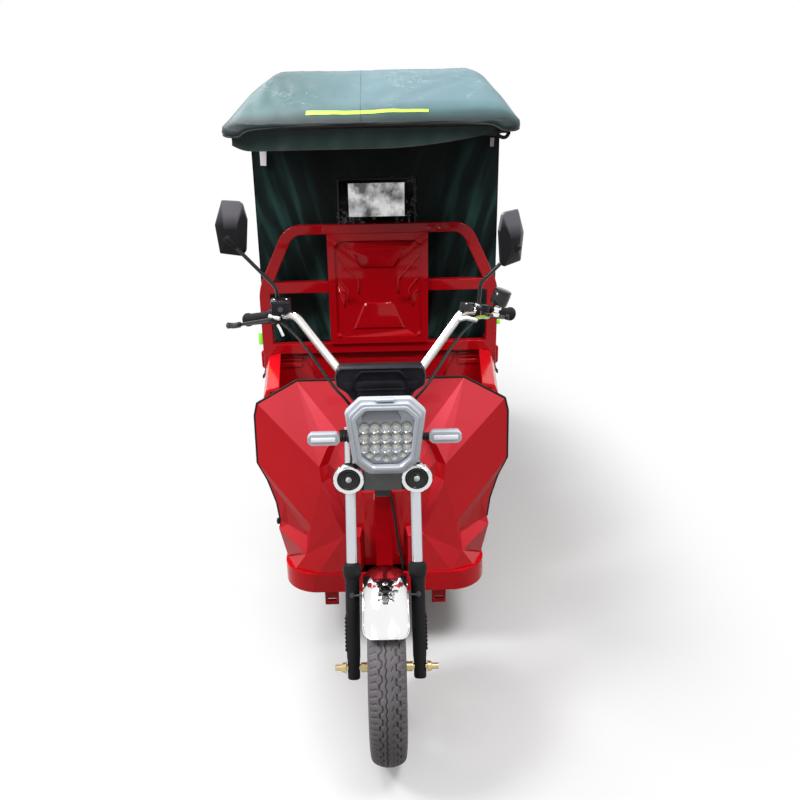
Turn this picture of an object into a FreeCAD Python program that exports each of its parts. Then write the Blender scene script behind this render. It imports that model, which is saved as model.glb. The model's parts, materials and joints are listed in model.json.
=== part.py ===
import FreeCAD, Part
import Sketcher
import math
import os

os.makedirs("parts", exist_ok=True)
doc = FreeCAD.newDocument("Rickshaw")
sheet = doc.addObject("Spreadsheet::Sheet", "Dim")
V = FreeCAD.Vector


def size(alias, value):
    # One named driving dimension, in millimetres or degrees
    row = len(names) + 1
    names.append(alias)
    sheet.set("A%d" % row, alias)
    sheet.set("B%d" % row, str(value))
    sheet.setAlias("B%d" % row, alias)
    return value


names = []
# Wheels and axles
wheel_radius = size("wheel_radius", 250)
tyre_width = size("tyre_width", 98)
tread_width = size("tread_width", 66)
bead_radius = size("bead_radius", 160)
tyre_shoulder = size("tyre_shoulder", 18)
rim_width = size("rim_width", 66)
rim_lip = size("rim_lip", 8)
rim_metal = size("rim_metal", 4)
disc_metal = size("disc_metal", 6)
hub_radius = size("hub_radius", 42)
hub_width = size("hub_width", 84)
drum_radius = size("drum_radius", 68)
vent_radius = size("vent_radius", 17)
vent_circle = size("vent_circle", 105)
vent_count = size("vent_count", 6)
axle_radius = size("axle_radius", 8)
axle_half = size("axle_half", 140)
axle_nut = size("axle_nut", 13)
nut_width = size("nut_width", 9)
bearing_gap = size("bearing_gap", 0.5)
wheelbase = size("wheelbase", 1950)
rear_track = size("rear_track", 780)
shaft_radius = size("shaft_radius", 15)
housing_radius = size("housing_radius", 27)
motor_radius = size("motor_radius", 92)
motor_width = size("motor_width", 170)
# Steering geometry
rake = size("rake", 25)
fork_offset = size("fork_offset", 45)
leg_half = size("leg_half", 90)
tube_radius = size("tube_radius", 15)
lower_radius = size("lower_radius", 20)
lower_drop = size("lower_drop", 32)
lower_top = size("lower_top", 240)
seal_radius = size("seal_radius", 26)
seal_height = size("seal_height", 40)
fin_depth = size("fin_depth", 7)
fin_height = size("fin_height", 110)
tube_top = size("tube_top", 655)
yoke_low = size("yoke_low", 480)
yoke_high = size("yoke_high", 627)
yoke_plate = size("yoke_plate", 20)
yoke_front = size("yoke_front", 26)
yoke_back = size("yoke_back", 70)
yoke_side = size("yoke_side", 116)
stem_radius = size("stem_radius", 14)
head_radius = size("head_radius", 30)
head_gap = size("head_gap", 2)
neck_width = size("neck_width", 50)
neck_depth = size("neck_depth", 52)
# Front mudguard
guard_half = size("guard_half", 58)
guard_radius = size("guard_radius", 272)
guard_crown = size("guard_crown", 20)
guard_metal = size("guard_metal", 3)
guard_from = size("guard_from", -38.5)
guard_to = size("guard_to", 70)
stay_width = size("stay_width", 22)
stay_metal = size("stay_metal", 4)
# Lamp, horns and signals
lamp_x = size("lamp_x", 10)
lamp_y = size("lamp_y", 80)
lamp_z = size("lamp_z", 889)
lamp_half = size("lamp_half", 104)
lamp_tall = size("lamp_tall", 107)
lamp_cut = size("lamp_cut", 38)
lamp_depth = size("lamp_depth", 36)
lamp_step = size("lamp_step", 13)
lamp_recess = size("lamp_recess", 11)
lens_metal = size("lens_metal", 3)
bowl_radius = size("bowl_radius", 62)
bowl_depth = size("bowl_depth", 71)
horn_y = size("horn_y", 118)
horn_z = size("horn_z", 757)
horn_x = size("horn_x", 90)
horn_radius = size("horn_radius", 41.5)
horn_depth = size("horn_depth", 28)
horn_plate = size("horn_plate", 5)
arm_reach = size("arm_reach", 86)
plate_half = size("plate_half", 50)
plate_tall = size("plate_tall", 56)
plate_drop = size("plate_drop", 8)
signal_x = size("signal_x", 7)
signal_from = size("signal_from", 115)
signal_to = size("signal_to", 200)
signal_z = size("signal_z", 876)
signal_tall = size("signal_tall", 32)
signal_depth = size("signal_depth", 34)
signal_cut = size("signal_cut", 9)
stalk_radius = size("stalk_radius", 9)
# Handlebar
bar_radius = size("bar_radius", 12.5)
bar_centre_y = size("bar_centre_y", 268)
bar_centre_z = size("bar_centre_z", 938)
bar_flat = size("bar_flat", 58)
bar_knee_x = size("bar_knee_x", 240)
bar_knee_y = size("bar_knee_y", 452)
bar_knee_z = size("bar_knee_z", 1124)
bar_end_x = size("bar_end_x", 400)
bar_end_y = size("bar_end_y", 605)
bar_end_z = size("bar_end_z", 1070)
bar_bend = size("bar_bend", 46)
grip_radius = size("grip_radius", 17)
grip_length = size("grip_length", 125)
switch_length = size("switch_length", 38)
lever_radius = size("lever_radius", 5)
lever_ahead = size("lever_ahead", 62)
lever_short = size("lever_short", 20)
lever_long = size("lever_long", 62)
dash_y = size("dash_y", 212)
dash_depth = size("dash_depth", 46)
dash_top = size("dash_top", 1037)
dash_low = size("dash_low", 944)
dash_half = size("dash_half", 121)
dash_foot = size("dash_foot", 90)
dash_cut = size("dash_cut", 12)
mirror_x = size("mirror_x", 376)
mirror_far_x = size("mirror_far_x", 404)
mirror_y = size("mirror_y", 452)
mirror_z = size("mirror_z", 1331)
mirror_far_z = size("mirror_far_z", 1368)
mirror_half = size("mirror_half", 47)
mirror_tall = size("mirror_tall", 78)
mirror_turn = size("mirror_turn", 34)
mirror_depth = size("mirror_depth", 26)
mirror_glass = size("mirror_glass", 3)
mirror_stem = size("mirror_stem", 5.5)
perch_reach = size("perch_reach", 70)
perch_rise = size("perch_rise", 88)
reservoir_x = size("reservoir_x", 282)
can_x = size("can_x", 336)
can_radius = size("can_radius", 26)
can_height = size("can_height", 46)
cable_radius = size("cable_radius", 4)
cable_slack_y = size("cable_slack_y", 30)
cable_slack_z = size("cable_slack_z", 46)
cable_out = size("cable_out", 89)
cable_back = size("cable_back", 66)
cable_up = size("cable_up", 95)
# Front shield and floor
shield_metal = size("shield_metal", 5)
shield_top = size("shield_top", 905)
shield_back_y = size("shield_back_y", 500)
shield_face_y = size("shield_face_y", 425)
foot_inset = size("foot_inset", 6)
recess_x = size("recess_x", 62)
trim_radius = size("trim_radius", 4)
floor_z = size("floor_z", 298)
floor_metal = size("floor_metal", 4)
floor_half = size("floor_half", 320)
floor_front = size("floor_front", 376)
floor_corner = size("floor_corner", 110)
skirt_low = size("skirt_low", 236)
skirt_metal = size("skirt_metal", 4)
lug_x = size("lug_x", 172)
lug_half = size("lug_half", 22)
lug_metal = size("lug_metal", 12)
lug_low = size("lug_low", 168)
lug_y = size("lug_y", 408)
slot_half = size("slot_half", 11)
slot_tall = size("slot_tall", 10)
# Chassis
rail_gap = size("rail_gap", 4)
rail_half = size("rail_half", 20)
rail_tall = size("rail_tall", 48)
deck_z = size("deck_z", 535)
kick_from = size("kick_from", 900)
kick_to = size("kick_to", 1180)
cross_depth = size("cross_depth", 40)
spring_span = size("spring_span", 320)
spring_metal = size("spring_metal", 10)
spring_half = size("spring_half", 25)
spring_sag = size("spring_sag", 120)
# Cargo box
box_front = size("box_front", 1250)
box_tail = size("box_tail", 595)
box_half = size("box_half", 455)
wall_metal = size("wall_metal", 4)
deck_metal = size("deck_metal", 5)
rail_top = size("rail_top", 805)
rail_size = size("rail_size", 40)
post_width = size("post_width", 42)
post_depth = size("post_depth", 35)
arch_top = size("arch_top", 1260)
arch_bar = size("arch_bar", 35)
arch_top_half = size("arch_top_half", 343)
arch_lean_z = size("arch_lean_z", 1024)
arch_bend = size("arch_bend", 200)
arch_corner = size("arch_corner", 90)
mid_rail_z = size("mid_rail_z", 1006)
mid_rail_tall = size("mid_rail_tall", 42)
back_half = size("back_half", 188)
back_metal = size("back_metal", 4)
back_border = size("back_border", 26)
back_lip = size("back_lip", 10)
rib_depth = size("rib_depth", 6)
notch_radius = size("notch_radius", 20)
stamp_rise = size("stamp_rise", 5)
stamp_slope = size("stamp_slope", 4)
ridge_radius = size("ridge_radius", 4)
panel_inset = size("panel_inset", 50)
gate_gap = size("gate_gap", 6)
gate_depth = size("gate_depth", 24)
hinge_radius = size("hinge_radius", 8)
hinge_pin = size("hinge_pin", 4)
pin_gap = size("pin_gap", 0.05)
hinge_x = size("hinge_x", 320)
knuckle_width = size("knuckle_width", 70)
seat_half = size("seat_half", 186)
seat_front = size("seat_front", 860)
seat_back = size("seat_back", 1205)
seat_box_top = size("seat_box_top", 578)
seat_wall = size("seat_wall", 5)
seat_thick = size("seat_thick", 76)
seat_gap = size("seat_gap", 0.4)
seat_reach = size("seat_reach", 10)
seat_lead = size("seat_lead", 12)
seat_round = size("seat_round", 16)
seat_hinge_inset = size("seat_hinge_inset", 76)
seat_barrel = size("seat_barrel", 6)
seat_pin = size("seat_pin", 3)
seat_knuckle = size("seat_knuckle", 60)
seat_ear = size("seat_ear", 8)
side_edge_y = size("side_edge_y", 620)
side_taper = size("side_taper", 57)
side_edge_lean = size("side_edge_lean", 220)
battery_gap = size("battery_gap", 36)
battery_depth = size("battery_depth", 300)
battery_tall = size("battery_tall", 190)
bench_width = size("bench_width", 190)
bench_top = size("bench_top", 690)
bench_pad = size("bench_pad", 55)
bench_inset = size("bench_inset", 60)
# Canopy
pole_radius = size("pole_radius", 11)
pole_inset = size("pole_inset", 30)
pole_lead = size("pole_lead", 62)
pole_trail = size("pole_trail", 49)
ring_drop = size("ring_drop", 8)
eave_z = size("eave_z", 1625)
eave_side = size("eave_side", 23)
visor_reach = size("visor_reach", 365)
tail_reach = size("tail_reach", 60)
crest_z = size("crest_z", 1785)
crest_side = size("crest_side", 120)
visor_run = size("visor_run", 375)
tail_run = size("tail_run", 185)
cloth = size("cloth", 5)
valance = size("valance", 32)
eave_bend = size("eave_bend", 60)
crest_bend = size("crest_bend", 90)
flap_drop = size("flap_drop", 80)
flap_rise = size("flap_rise", 26)
flap_inset = size("flap_inset", 32)
curtain_low = size("curtain_low", 812)
curtain_inset = size("curtain_inset", 3)
curtain_metal = size("curtain_metal", 4)
pane_half = size("pane_half", 143)
pane_low = size("pane_low", 1240)
pane_high = size("pane_high", 1414)
rear_pane_half = size("rear_pane_half", 150)
rear_pane_low = size("rear_pane_low", 1104)
rear_pane_high = size("rear_pane_high", 1282)
pane_metal = size("pane_metal", 2)
tail_half = size("tail_half", 60)
tail_inset = size("tail_inset", 85)
tail_tall = size("tail_tall", 45)
tail_depth = size("tail_depth", 28)
tail_z = size("tail_z", 440)
# Places that follow the sizes above
box_back = size("box_back", wheelbase + box_tail)
eave_half = size("eave_half", box_half + eave_side)
eave_front = size("eave_front", box_front - visor_reach)
eave_back = size("eave_back", box_back + tail_reach)
crest_half = size("crest_half", eave_half - crest_side)
crest_front = size("crest_front", eave_front + visor_run)
crest_back = size("crest_back", eave_back - tail_run)
pole_x = size("pole_x", box_half - pole_inset)
pole_front = size("pole_front", box_front + pole_lead)
pole_back = size("pole_back", box_back - pole_trail)
curtain_half = size("curtain_half", box_half - curtain_inset)
tail_x = size("tail_x", box_half - tail_inset)
rail_x = size("rail_x", seat_half + rail_half + rail_gap)
seat_hinge_x = size("seat_hinge_x", seat_half - seat_hinge_inset)
battery_half = size("battery_half", seat_half - battery_gap)
arch_lean = size("arch_lean", (box_half - arch_top_half) / (arch_top - arch_lean_z))
doc.recompute()


def g(alias):
    # Value of a named size
    return float(sheet.get(alias))


def bind(obj, prop, text):
    obj.setExpression(prop, text)


def place(obj, x, y, z):
    bind(obj, "Placement.Base.x", x)
    bind(obj, "Placement.Base.y", y)
    bind(obj, "Placement.Base.z", z)
    return obj


def box(name, length, width, height, x, y, z):
    # Block with its low corner at x, y, z
    obj = doc.addObject("Part::Box", name)
    bind(obj, "Length", length)
    bind(obj, "Width", width)
    bind(obj, "Height", height)
    return place(obj, x, y, z)


def cylinder(name, radius, height, x, y, z, axis):
    # Round bar starting at x, y, z and running along the axis
    obj = doc.addObject("Part::Cylinder", name)
    bind(obj, "Radius", radius)
    bind(obj, "Height", height)
    turn = FreeCAD.Rotation(V(0, 0, 1), axis)
    obj.Placement = FreeCAD.Placement(V(0, 0, 0), turn)
    return place(obj, x, y, z)


def mirrored(obj, name):
    # Copy on the other side of the middle plane
    twin = doc.addObject("Part::Mirroring", name)
    twin.Source = obj
    twin.Normal = V(1, 0, 0)
    return twin


def fused(name, objs):
    out = doc.addObject("Part::MultiFuse", name)
    out.Shapes = objs
    out.Refine = True
    return out


def cut(name, base, tool):
    out = doc.addObject("Part::Cut", name)
    out.Base = base
    out.Tool = tool
    return out


def grouped(name, objs):
    out = doc.addObject("Part::Compound", name)
    out.Links = objs
    return out


def feature(name, shape, placement=None):
    # Shape made with Part's own functions
    obj = doc.addObject("Part::Feature", name)
    obj.Shape = shape
    if placement:
        obj.Placement = placement.multiply(obj.Placement)
    return obj


def number(text):
    # Value of an expression over the sheet
    return float(sheet.evalExpression(text))


def plane_of(body, role):
    for item in body.Origin.OriginFeatures:
        if item.Role == role:
            return item
    raise ValueError("no plane %s" % role)


def profile(body, role, points):
    # Closed sketch whose corners follow the sheet
    sketch = body.newObject("Sketcher::SketchObject", body.Name + "Outline")
    sketch.AttachmentSupport = [(plane_of(body, role), "")]
    sketch.MapMode = "FlatFace"
    corners = [V(number(a), number(b), 0) for a, b in points]
    count = len(corners)
    for i in range(count):
        sketch.addGeometry(Part.LineSegment(corners[i], corners[(i + 1) % count]))
    for i in range(count):
        sketch.addConstraint(Sketcher.Constraint("Coincident", i, 2, (i + 1) % count, 1))
    for i in range(count):
        for kind, text, value in (
            ("DistanceX", points[i][0], corners[i].x),
            ("DistanceY", points[i][1], corners[i].y),
        ):
            rule = Sketcher.Constraint(kind, -1, 1, i, 1, value)
            index = sketch.addConstraint(rule)
            sketch.setExpression("Constraints[%d]" % index, text)
    return sketch


def turned_body(name, points):
    # Body of revolution about the X axis, from an outline in the XZ plane
    body = doc.addObject("PartDesign::Body", name)
    sketch = profile(body, "XZ_Plane", points)
    turn = body.newObject("PartDesign::Revolution", name + "Turn")
    turn.Profile = sketch
    turn.ReferenceAxis = (sketch, ["H_Axis"])
    turn.Angle = 360
    return body


def route(points, bend):
    # Straight runs joined by tangent arcs
    edges = []
    here = points[0]
    for i in range(1, len(points) - 1):
        corner = points[i]
        back = (points[i - 1] - corner).normalize()
        ahead = (points[i + 1] - corner).normalize()
        half = back.getAngle(ahead) / 2
        reach = bend / math.tan(half)
        room = 0.45 * min((points[i - 1] - corner).Length, (points[i + 1] - corner).Length)
        reach = min(reach, room)
        radius = reach * math.tan(half)
        start = corner + back * reach
        stop = corner + ahead * reach
        inward = (back + ahead).normalize()
        middle = corner + inward * (radius / math.sin(half) - radius)
        edges.append(Part.LineSegment(here, start).toShape())
        edges.append(Part.Arc(start, middle, stop).toShape())
        here = stop
    edges.append(Part.LineSegment(here, points[-1]).toShape())
    return Part.Wire(edges)


def pipe(points, bend, radius):
    # Round bar along a route
    path = route(points, bend)
    aim = points[1] - points[0]
    ring = Part.Wire([Part.makeCircle(radius, points[0], aim)])
    return path.makePipeShell([ring], True, False)


def prism(points, push):
    # Flat outline pushed along a vector
    return Part.Face(Part.makePolygon(points + [points[0]])).extrude(push)


def block(x0, x1, y0, y1, z0, z1):
    return Part.makeBox(x1 - x0, y1 - y0, z1 - z0, V(x0, y0, z0))


def flip(shape):
    return shape.mirror(V(0, 0, 0), V(1, 0, 0))


lean = FreeCAD.Placement(V(0, 0, g("wheel_radius")), FreeCAD.Rotation(V(1, 0, 0), -g("rake")))


def leaning(x, back, up):
    # World point of a point in the fork's own frame
    return lean.multVec(V(x, back, up))


# Wheel outlines, across and outwards
tyre_points = []
tyre_points.append(("-Dim.rim_width/2+Dim.rim_metal", "Dim.bead_radius"))
tyre_points.append(("-Dim.rim_width/2+Dim.rim_metal", "Dim.bead_radius+Dim.rim_lip"))
tyre_points.append(("-Dim.tyre_width*0.46", "Dim.bead_radius+Dim.rim_lip*2"))
tyre_points.append(("-Dim.tyre_width/2", "Dim.bead_radius+Dim.rim_lip*4"))
tyre_points.append(("-Dim.tyre_width*0.48", "Dim.wheel_radius-Dim.tyre_shoulder*1.6"))
tyre_points.append(("-Dim.tyre_width*0.41", "Dim.wheel_radius-Dim.tyre_shoulder*0.75"))
tyre_points.append(("-Dim.tread_width*0.36", "Dim.wheel_radius-Dim.tyre_shoulder*0.2"))
tyre_points.append(("-Dim.tread_width*0.14", "Dim.wheel_radius"))
tyre_points.append(("Dim.tread_width*0.14", "Dim.wheel_radius"))
tyre_points.append(("Dim.tread_width*0.36", "Dim.wheel_radius-Dim.tyre_shoulder*0.2"))
tyre_points.append(("Dim.tyre_width*0.41", "Dim.wheel_radius-Dim.tyre_shoulder*0.75"))
tyre_points.append(("Dim.tyre_width*0.48", "Dim.wheel_radius-Dim.tyre_shoulder*1.6"))
tyre_points.append(("Dim.tyre_width/2", "Dim.bead_radius+Dim.rim_lip*4"))
tyre_points.append(("Dim.tyre_width*0.46", "Dim.bead_radius+Dim.rim_lip*2"))
tyre_points.append(("Dim.rim_width/2-Dim.rim_metal", "Dim.bead_radius+Dim.rim_lip"))
tyre_points.append(("Dim.rim_width/2-Dim.rim_metal", "Dim.bead_radius"))

wheel_points = []
wheel_points.append(("-Dim.hub_width/2", "Dim.axle_radius+Dim.bearing_gap"))
wheel_points.append(("Dim.hub_width/2", "Dim.axle_radius+Dim.bearing_gap"))
wheel_points.append(("Dim.hub_width/2", "Dim.drum_radius"))
wheel_points.append(("Dim.disc_metal/2", "Dim.drum_radius"))
wheel_points.append(("Dim.disc_metal/2", "Dim.bead_radius-Dim.rim_metal*2"))
wheel_points.append(("Dim.rim_width/2", "Dim.bead_radius-Dim.rim_metal*2"))
wheel_points.append(("Dim.rim_width/2", "Dim.bead_radius+Dim.rim_lip"))
wheel_points.append(("Dim.rim_width/2-Dim.rim_metal", "Dim.bead_radius+Dim.rim_lip"))
wheel_points.append(("Dim.rim_width/2-Dim.rim_metal", "Dim.bead_radius"))
wheel_points.append(("-Dim.rim_width/2+Dim.rim_metal", "Dim.bead_radius"))
wheel_points.append(("-Dim.rim_width/2+Dim.rim_metal", "Dim.bead_radius+Dim.rim_lip"))
wheel_points.append(("-Dim.rim_width/2", "Dim.bead_radius+Dim.rim_lip"))
wheel_points.append(("-Dim.rim_width/2", "Dim.bead_radius-Dim.rim_metal*2"))
wheel_points.append(("-Dim.disc_metal/2", "Dim.bead_radius-Dim.rim_metal*2"))
wheel_points.append(("-Dim.disc_metal/2", "Dim.hub_radius"))
wheel_points.append(("-Dim.hub_width/2", "Dim.hub_radius"))


def wheel_body(name, bore):
    # Pressed wheel: hub, drum, disc and rim in one outline, then vents round the disc
    points = list(wheel_points)
    points[0] = (points[0][0], bore)
    points[1] = (points[1][0], bore)
    body = turned_body(name, points)
    doc.recompute()
    vents = body.newObject("Sketcher::SketchObject", name + "Vent")
    vents.AttachmentSupport = [(plane_of(body, "YZ_Plane"), "")]
    vents.MapMode = "FlatFace"
    vents.addGeometry(Part.Circle(V(g("vent_circle"), 0, 0), V(0, 0, 1), g("vent_radius")))
    radius = vents.addConstraint(Sketcher.Constraint("Radius", 0, g("vent_radius")))
    vents.setExpression("Constraints[%d]" % radius, "Dim.vent_radius")
    vents.addConstraint(Sketcher.Constraint("PointOnObject", 0, 3, -1))
    reach = vents.addConstraint(Sketcher.Constraint("DistanceX", -1, 1, 0, 3, g("vent_circle")))
    vents.setExpression("Constraints[%d]" % reach, "Dim.vent_circle")
    pocket = body.newObject("PartDesign::Pocket", name + "VentCut")
    pocket.Profile = vents
    pocket.Midplane = True
    bind(pocket, "Length", "Dim.rim_width")
    doc.recompute()
    ring = body.newObject("PartDesign::PolarPattern", name + "Vents")
    ring.Originals = [pocket]
    ring.Axis = (vents, ["N_Axis"])
    ring.Angle = 360
    bind(ring, "Occurrences", "Dim.vent_count")
    body.Tip = ring
    doc.recompute()
    return body


front_bore = "Dim.axle_radius+Dim.bearing_gap"
rear_bore = "Dim.shaft_radius+Dim.bearing_gap"
front_tyre = place(turned_body("front_tyre", tyre_points), "0", "0", "Dim.wheel_radius")
front_wheel = place(wheel_body("front_wheel", front_bore), "0", "0", "Dim.wheel_radius")
rear_left = "Dim.rear_track/2"
rear_right = "-Dim.rear_track/2"
tyre_left = place(turned_body("rear_tyre_left", tyre_points), rear_left, "Dim.wheelbase", "Dim.wheel_radius")
tyre_right = place(turned_body("rear_tyre_right", tyre_points), rear_right, "Dim.wheelbase", "Dim.wheel_radius")
wheel_left = place(wheel_body("rear_wheel_left", rear_bore), rear_left, "Dim.wheelbase", "Dim.wheel_radius")
wheel_right = place(wheel_body("rear_wheel_right", rear_bore), rear_right, "Dim.wheelbase", "Dim.wheel_radius")

# Front axle: rod, spacers and end nuts
rod = cylinder("axle_rod", "Dim.axle_radius", "Dim.axle_half*2", "-Dim.axle_half", "0", "Dim.wheel_radius", V(1, 0, 0))
nut_a = cylinder("axle_nut_a", "Dim.axle_nut", "Dim.nut_width", "Dim.leg_half+Dim.lower_radius", "0", "Dim.wheel_radius", V(1, 0, 0))
spacer_a = cylinder("axle_spacer_a", "Dim.axle_nut", "Dim.leg_half-Dim.lower_radius-Dim.hub_width/2-1", "Dim.hub_width/2+1", "0", "Dim.wheel_radius", V(1, 0, 0))
front_axle = fused("front_axle", [rod, nut_a, mirrored(nut_a, "axle_nut_b"), spacer_a, mirrored(spacer_a, "axle_spacer_b")])
doc.recompute()

# Fork, in its own leaning frame
leg = g("leg_half")
low_r = g("lower_radius")
lower = Part.makeCylinder(low_r, g("lower_top") + g("lower_drop"), V(leg, 0, -g("lower_drop")))
seal = Part.makeCylinder(g("seal_radius"), g("seal_height"), V(leg, 0, g("lower_top")))
neck_fin = Part.makeBox(low_r + g("fin_depth"), g("fin_depth"), g("fin_height"), V(leg, -g("fin_depth") / 2, low_r * 2))
lower = lower.fuse(seal).fuse(neck_fin)
lower = lower.cut(Part.makeCylinder(g("tube_radius"), g("tube_top"), V(leg, 0, low_r)))
lower.Placement = lean
bore = Part.makeCylinder(g("axle_radius"), leg * 4, V(-leg * 2, 0, g("wheel_radius")), V(1, 0, 0))
lower = lower.cut(bore).removeSplitter()
lowers = feature("fork_lowers", Part.makeCompound([lower, flip(lower)]))
tube = Part.makeCylinder(g("tube_radius"), g("tube_top") - low_r, V(leg, 0, low_r))
tube.Placement = lean
tubes = feature("fork_tubes", Part.makeCompound([tube, flip(tube)]))

# Fork yokes with steering stem
side = g("yoke_side")
plates = block(-side, side, -g("yoke_front"), g("yoke_back"), g("yoke_low"), g("yoke_low") + g("yoke_plate"))
plates = plates.fuse(block(-side, side, -g("yoke_front"), g("yoke_back"), g("yoke_high"), g("yoke_high") + g("yoke_plate")))
stem_long = g("yoke_high") - g("yoke_low")
plates = plates.fuse(Part.makeCylinder(g("stem_radius"), stem_long, V(0, g("fork_offset"), g("yoke_low"))))
for way in (-1, 1):
    plates = plates.cut(Part.makeCylinder(g("tube_radius"), g("tube_top"), V(way * leg, 0, 0)))
plates.Placement = lean
riser_a = pipe([leaning(g("bar_flat") * 0.6, g("fork_offset"), g("yoke_high") + g("yoke_plate") / 2), V(g("bar_flat") * 0.6, g("bar_centre_y"), g("bar_centre_z"))], 1, g("bar_radius") + 3)
bar_points = []
bar_points.append(V(-g("bar_end_x"), g("bar_end_y"), g("bar_end_z")))
bar_points.append(V(-g("bar_knee_x"), g("bar_knee_y"), g("bar_knee_z")))
bar_points.append(V(-g("bar_flat"), g("bar_centre_y"), g("bar_centre_z")))
bar_points.append(V(g("bar_flat"), g("bar_centre_y"), g("bar_centre_z")))
bar_points.append(V(g("bar_knee_x"), g("bar_knee_y"), g("bar_knee_z")))
bar_points.append(V(g("bar_end_x"), g("bar_end_y"), g("bar_end_z")))
bar_shape = pipe(bar_points, g("bar_bend"), g("bar_radius"))
clamp = Part.makeCylinder(g("bar_radius") + 7, g("bar_flat") * 1.2, V(-g("bar_flat") * 0.6, g("bar_centre_y"), g("bar_centre_z")), V(1, 0, 0))
yoke_shape = plates.fuse(riser_a).fuse(flip(riser_a)).fuse(clamp).cut(bar_shape)
yokes = feature("fork_yokes", yoke_shape)
bar = feature("handlebar", bar_shape)

# Grips, levers, switch boxes and the small round can
knee = bar_points[4]
end_r = bar_points[5]
grip_axis = (end_r - knee).normalize()
grip_long = g("grip_length")
switch_long = g("switch_length")
grip = Part.makeCylinder(g("grip_radius"), grip_long, end_r - grip_axis * (grip_long - 4), grip_axis)
switch_mid = end_r - grip_axis * (grip_long + switch_long * 0.6)
switch = Part.makeCylinder(g("grip_radius") + 6, switch_long, switch_mid - grip_axis * (switch_long / 2), grip_axis)
ahead = g("lever_ahead")
lever_root = switch_mid + V(0, -ahead * 0.2, 0)
lever_knee = switch_mid + V(ahead * 0.22, -ahead * 0.85, 4)
lever_a = pipe([lever_root, lever_knee, end_r + V(-g("lever_short"), -ahead, 6)], 12, g("lever_radius"))
lever_b = pipe([lever_root, lever_knee, end_r + V(g("lever_long"), -ahead, 0)], 12, g("lever_radius"))
hold = grip.fuse(switch)
knee_z = g("bar_knee_z")
res_y = g("bar_knee_y") + 6
res_x = g("reservoir_x")
reservoir = block(-res_x - 27, -res_x + 27, res_y, res_y + 40, knee_z - 4, knee_z + 38)
can_at = V(g("can_x"), g("bar_knee_y") + 30, knee_z - 26)
can_tilt = V(0.34, 0, 0.94)
can = Part.makeCylinder(g("can_radius"), g("can_height"), can_at + V(8, 0, 32), can_tilt)
can = can.fuse(Part.makeCylinder(9, 40, can_at, can_tilt))
left_hold = hold.fuse(lever_a).fuse(can)
right_hold = flip(hold.fuse(lever_b)).fuse(reservoir)
holds = feature("bar_controls", Part.makeCompound([left_hold.cut(bar_shape), right_hold.cut(bar_shape)]))

# Mirrors on bent stems
mh = g("mirror_half")
mt = g("mirror_tall")
md = g("mirror_depth")
mg = g("mirror_glass")
outward = []
outward.append(V(mh * 0.43, 0, mt))
outward.append(V(-mh * 0.6, 0, mt * 0.95))
outward.append(V(-mh * 0.8, 0, mt * 0.85))
outward.append(V(-mh, 0, mt * 0.3))
outward.append(V(-mh * 0.8, 0, -mt * 0.8))
outward.append(V(-mh * 0.53, 0, -mt))
outward.append(V(mh * 0.8, 0, -mt * 0.88))
outward.append(V(mh * 0.96, 0, mt * 0.15))
slim = [p * 0.72 for p in outward]
back_y = V(0, md * 0.55, 0)
housing_front = Part.makeLoft([Part.makePolygon(slim + [slim[0]]), Part.makePolygon([p + back_y for p in outward + [outward[0]]])], True, True)
housing_back = prism([p + back_y for p in outward], V(0, md * 0.45, 0))
glass_step = V(0, md - mg, 0)
glass = prism([p * 0.9 + glass_step for p in outward], V(0, mg, 0))
mirror_box = housing_front.fuse(housing_back).cut(glass)
stem_foot = knee + grip_axis * g("perch_reach")
stem_knee = stem_foot + V(4, -14, g("perch_rise"))
stem_tip = V(mh * 0.3, 2, -mt * 0.3)


def mirror_set(turn, x, z):
    # Housing with its stem, and its glass, on the +X side
    spin = FreeCAD.Placement(V(x, g("mirror_y"), z), FreeCAD.Rotation(V(0, 0, 1), turn))
    body = mirror_box.copy()
    body.Placement = spin
    face = glass.copy()
    face.Placement = spin
    tip = spin.multVec(stem_tip)
    boot_aim = (stem_knee - tip).normalize()
    boot = Part.makeCone(g("mirror_stem") * 2, g("mirror_stem") * 1.3, mt * 0.5, tip, boot_aim)
    stem = pipe([stem_foot, stem_knee, tip], 24, g("mirror_stem"))
    body = body.fuse(stem).fuse(boot).cut(face).cut(bar_shape)
    return body, face


near, near_glass = mirror_set(g("mirror_turn"), g("mirror_x"), g("mirror_z"))
far, far_glass = mirror_set(0, g("mirror_far_x"), g("mirror_far_z"))
near = max(near.cut(left_hold).Solids, key=lambda s: s.Volume)
far = max(flip(far).cut(right_hold).Solids, key=lambda s: s.Volume)
shells = feature("mirror_shells", Part.makeCompound([near, far]))
panes = feature("mirror_faces", Part.makeCompound([near_glass, flip(far_glass)]))

# Instrument housing over the lamp
dt = g("dash_top")
dl = g("dash_low")
dh = g("dash_half")
df = g("dash_foot")
dc = g("dash_cut")
front_y = g("dash_y")
dash = []
dash.append(V(-dh, front_y, dt - dc * 2))
dash.append(V(-dh + dc, front_y, dt))
dash.append(V(dh - dc, front_y, dt))
dash.append(V(dh, front_y, dt - dc * 2))
dash.append(V(df, front_y, dl + dc * 2))
dash.append(V(df - dc, front_y, dl))
dash.append(V(-df + dc, front_y, dl))
dash.append(V(-df, front_y, dl + dc * 2))
dash_shape = prism(dash, V(0, g("dash_depth"), 0)).cut(bar_shape).cut(yoke_shape)
dash_box = feature("dash_housing", dash_shape)


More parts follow.
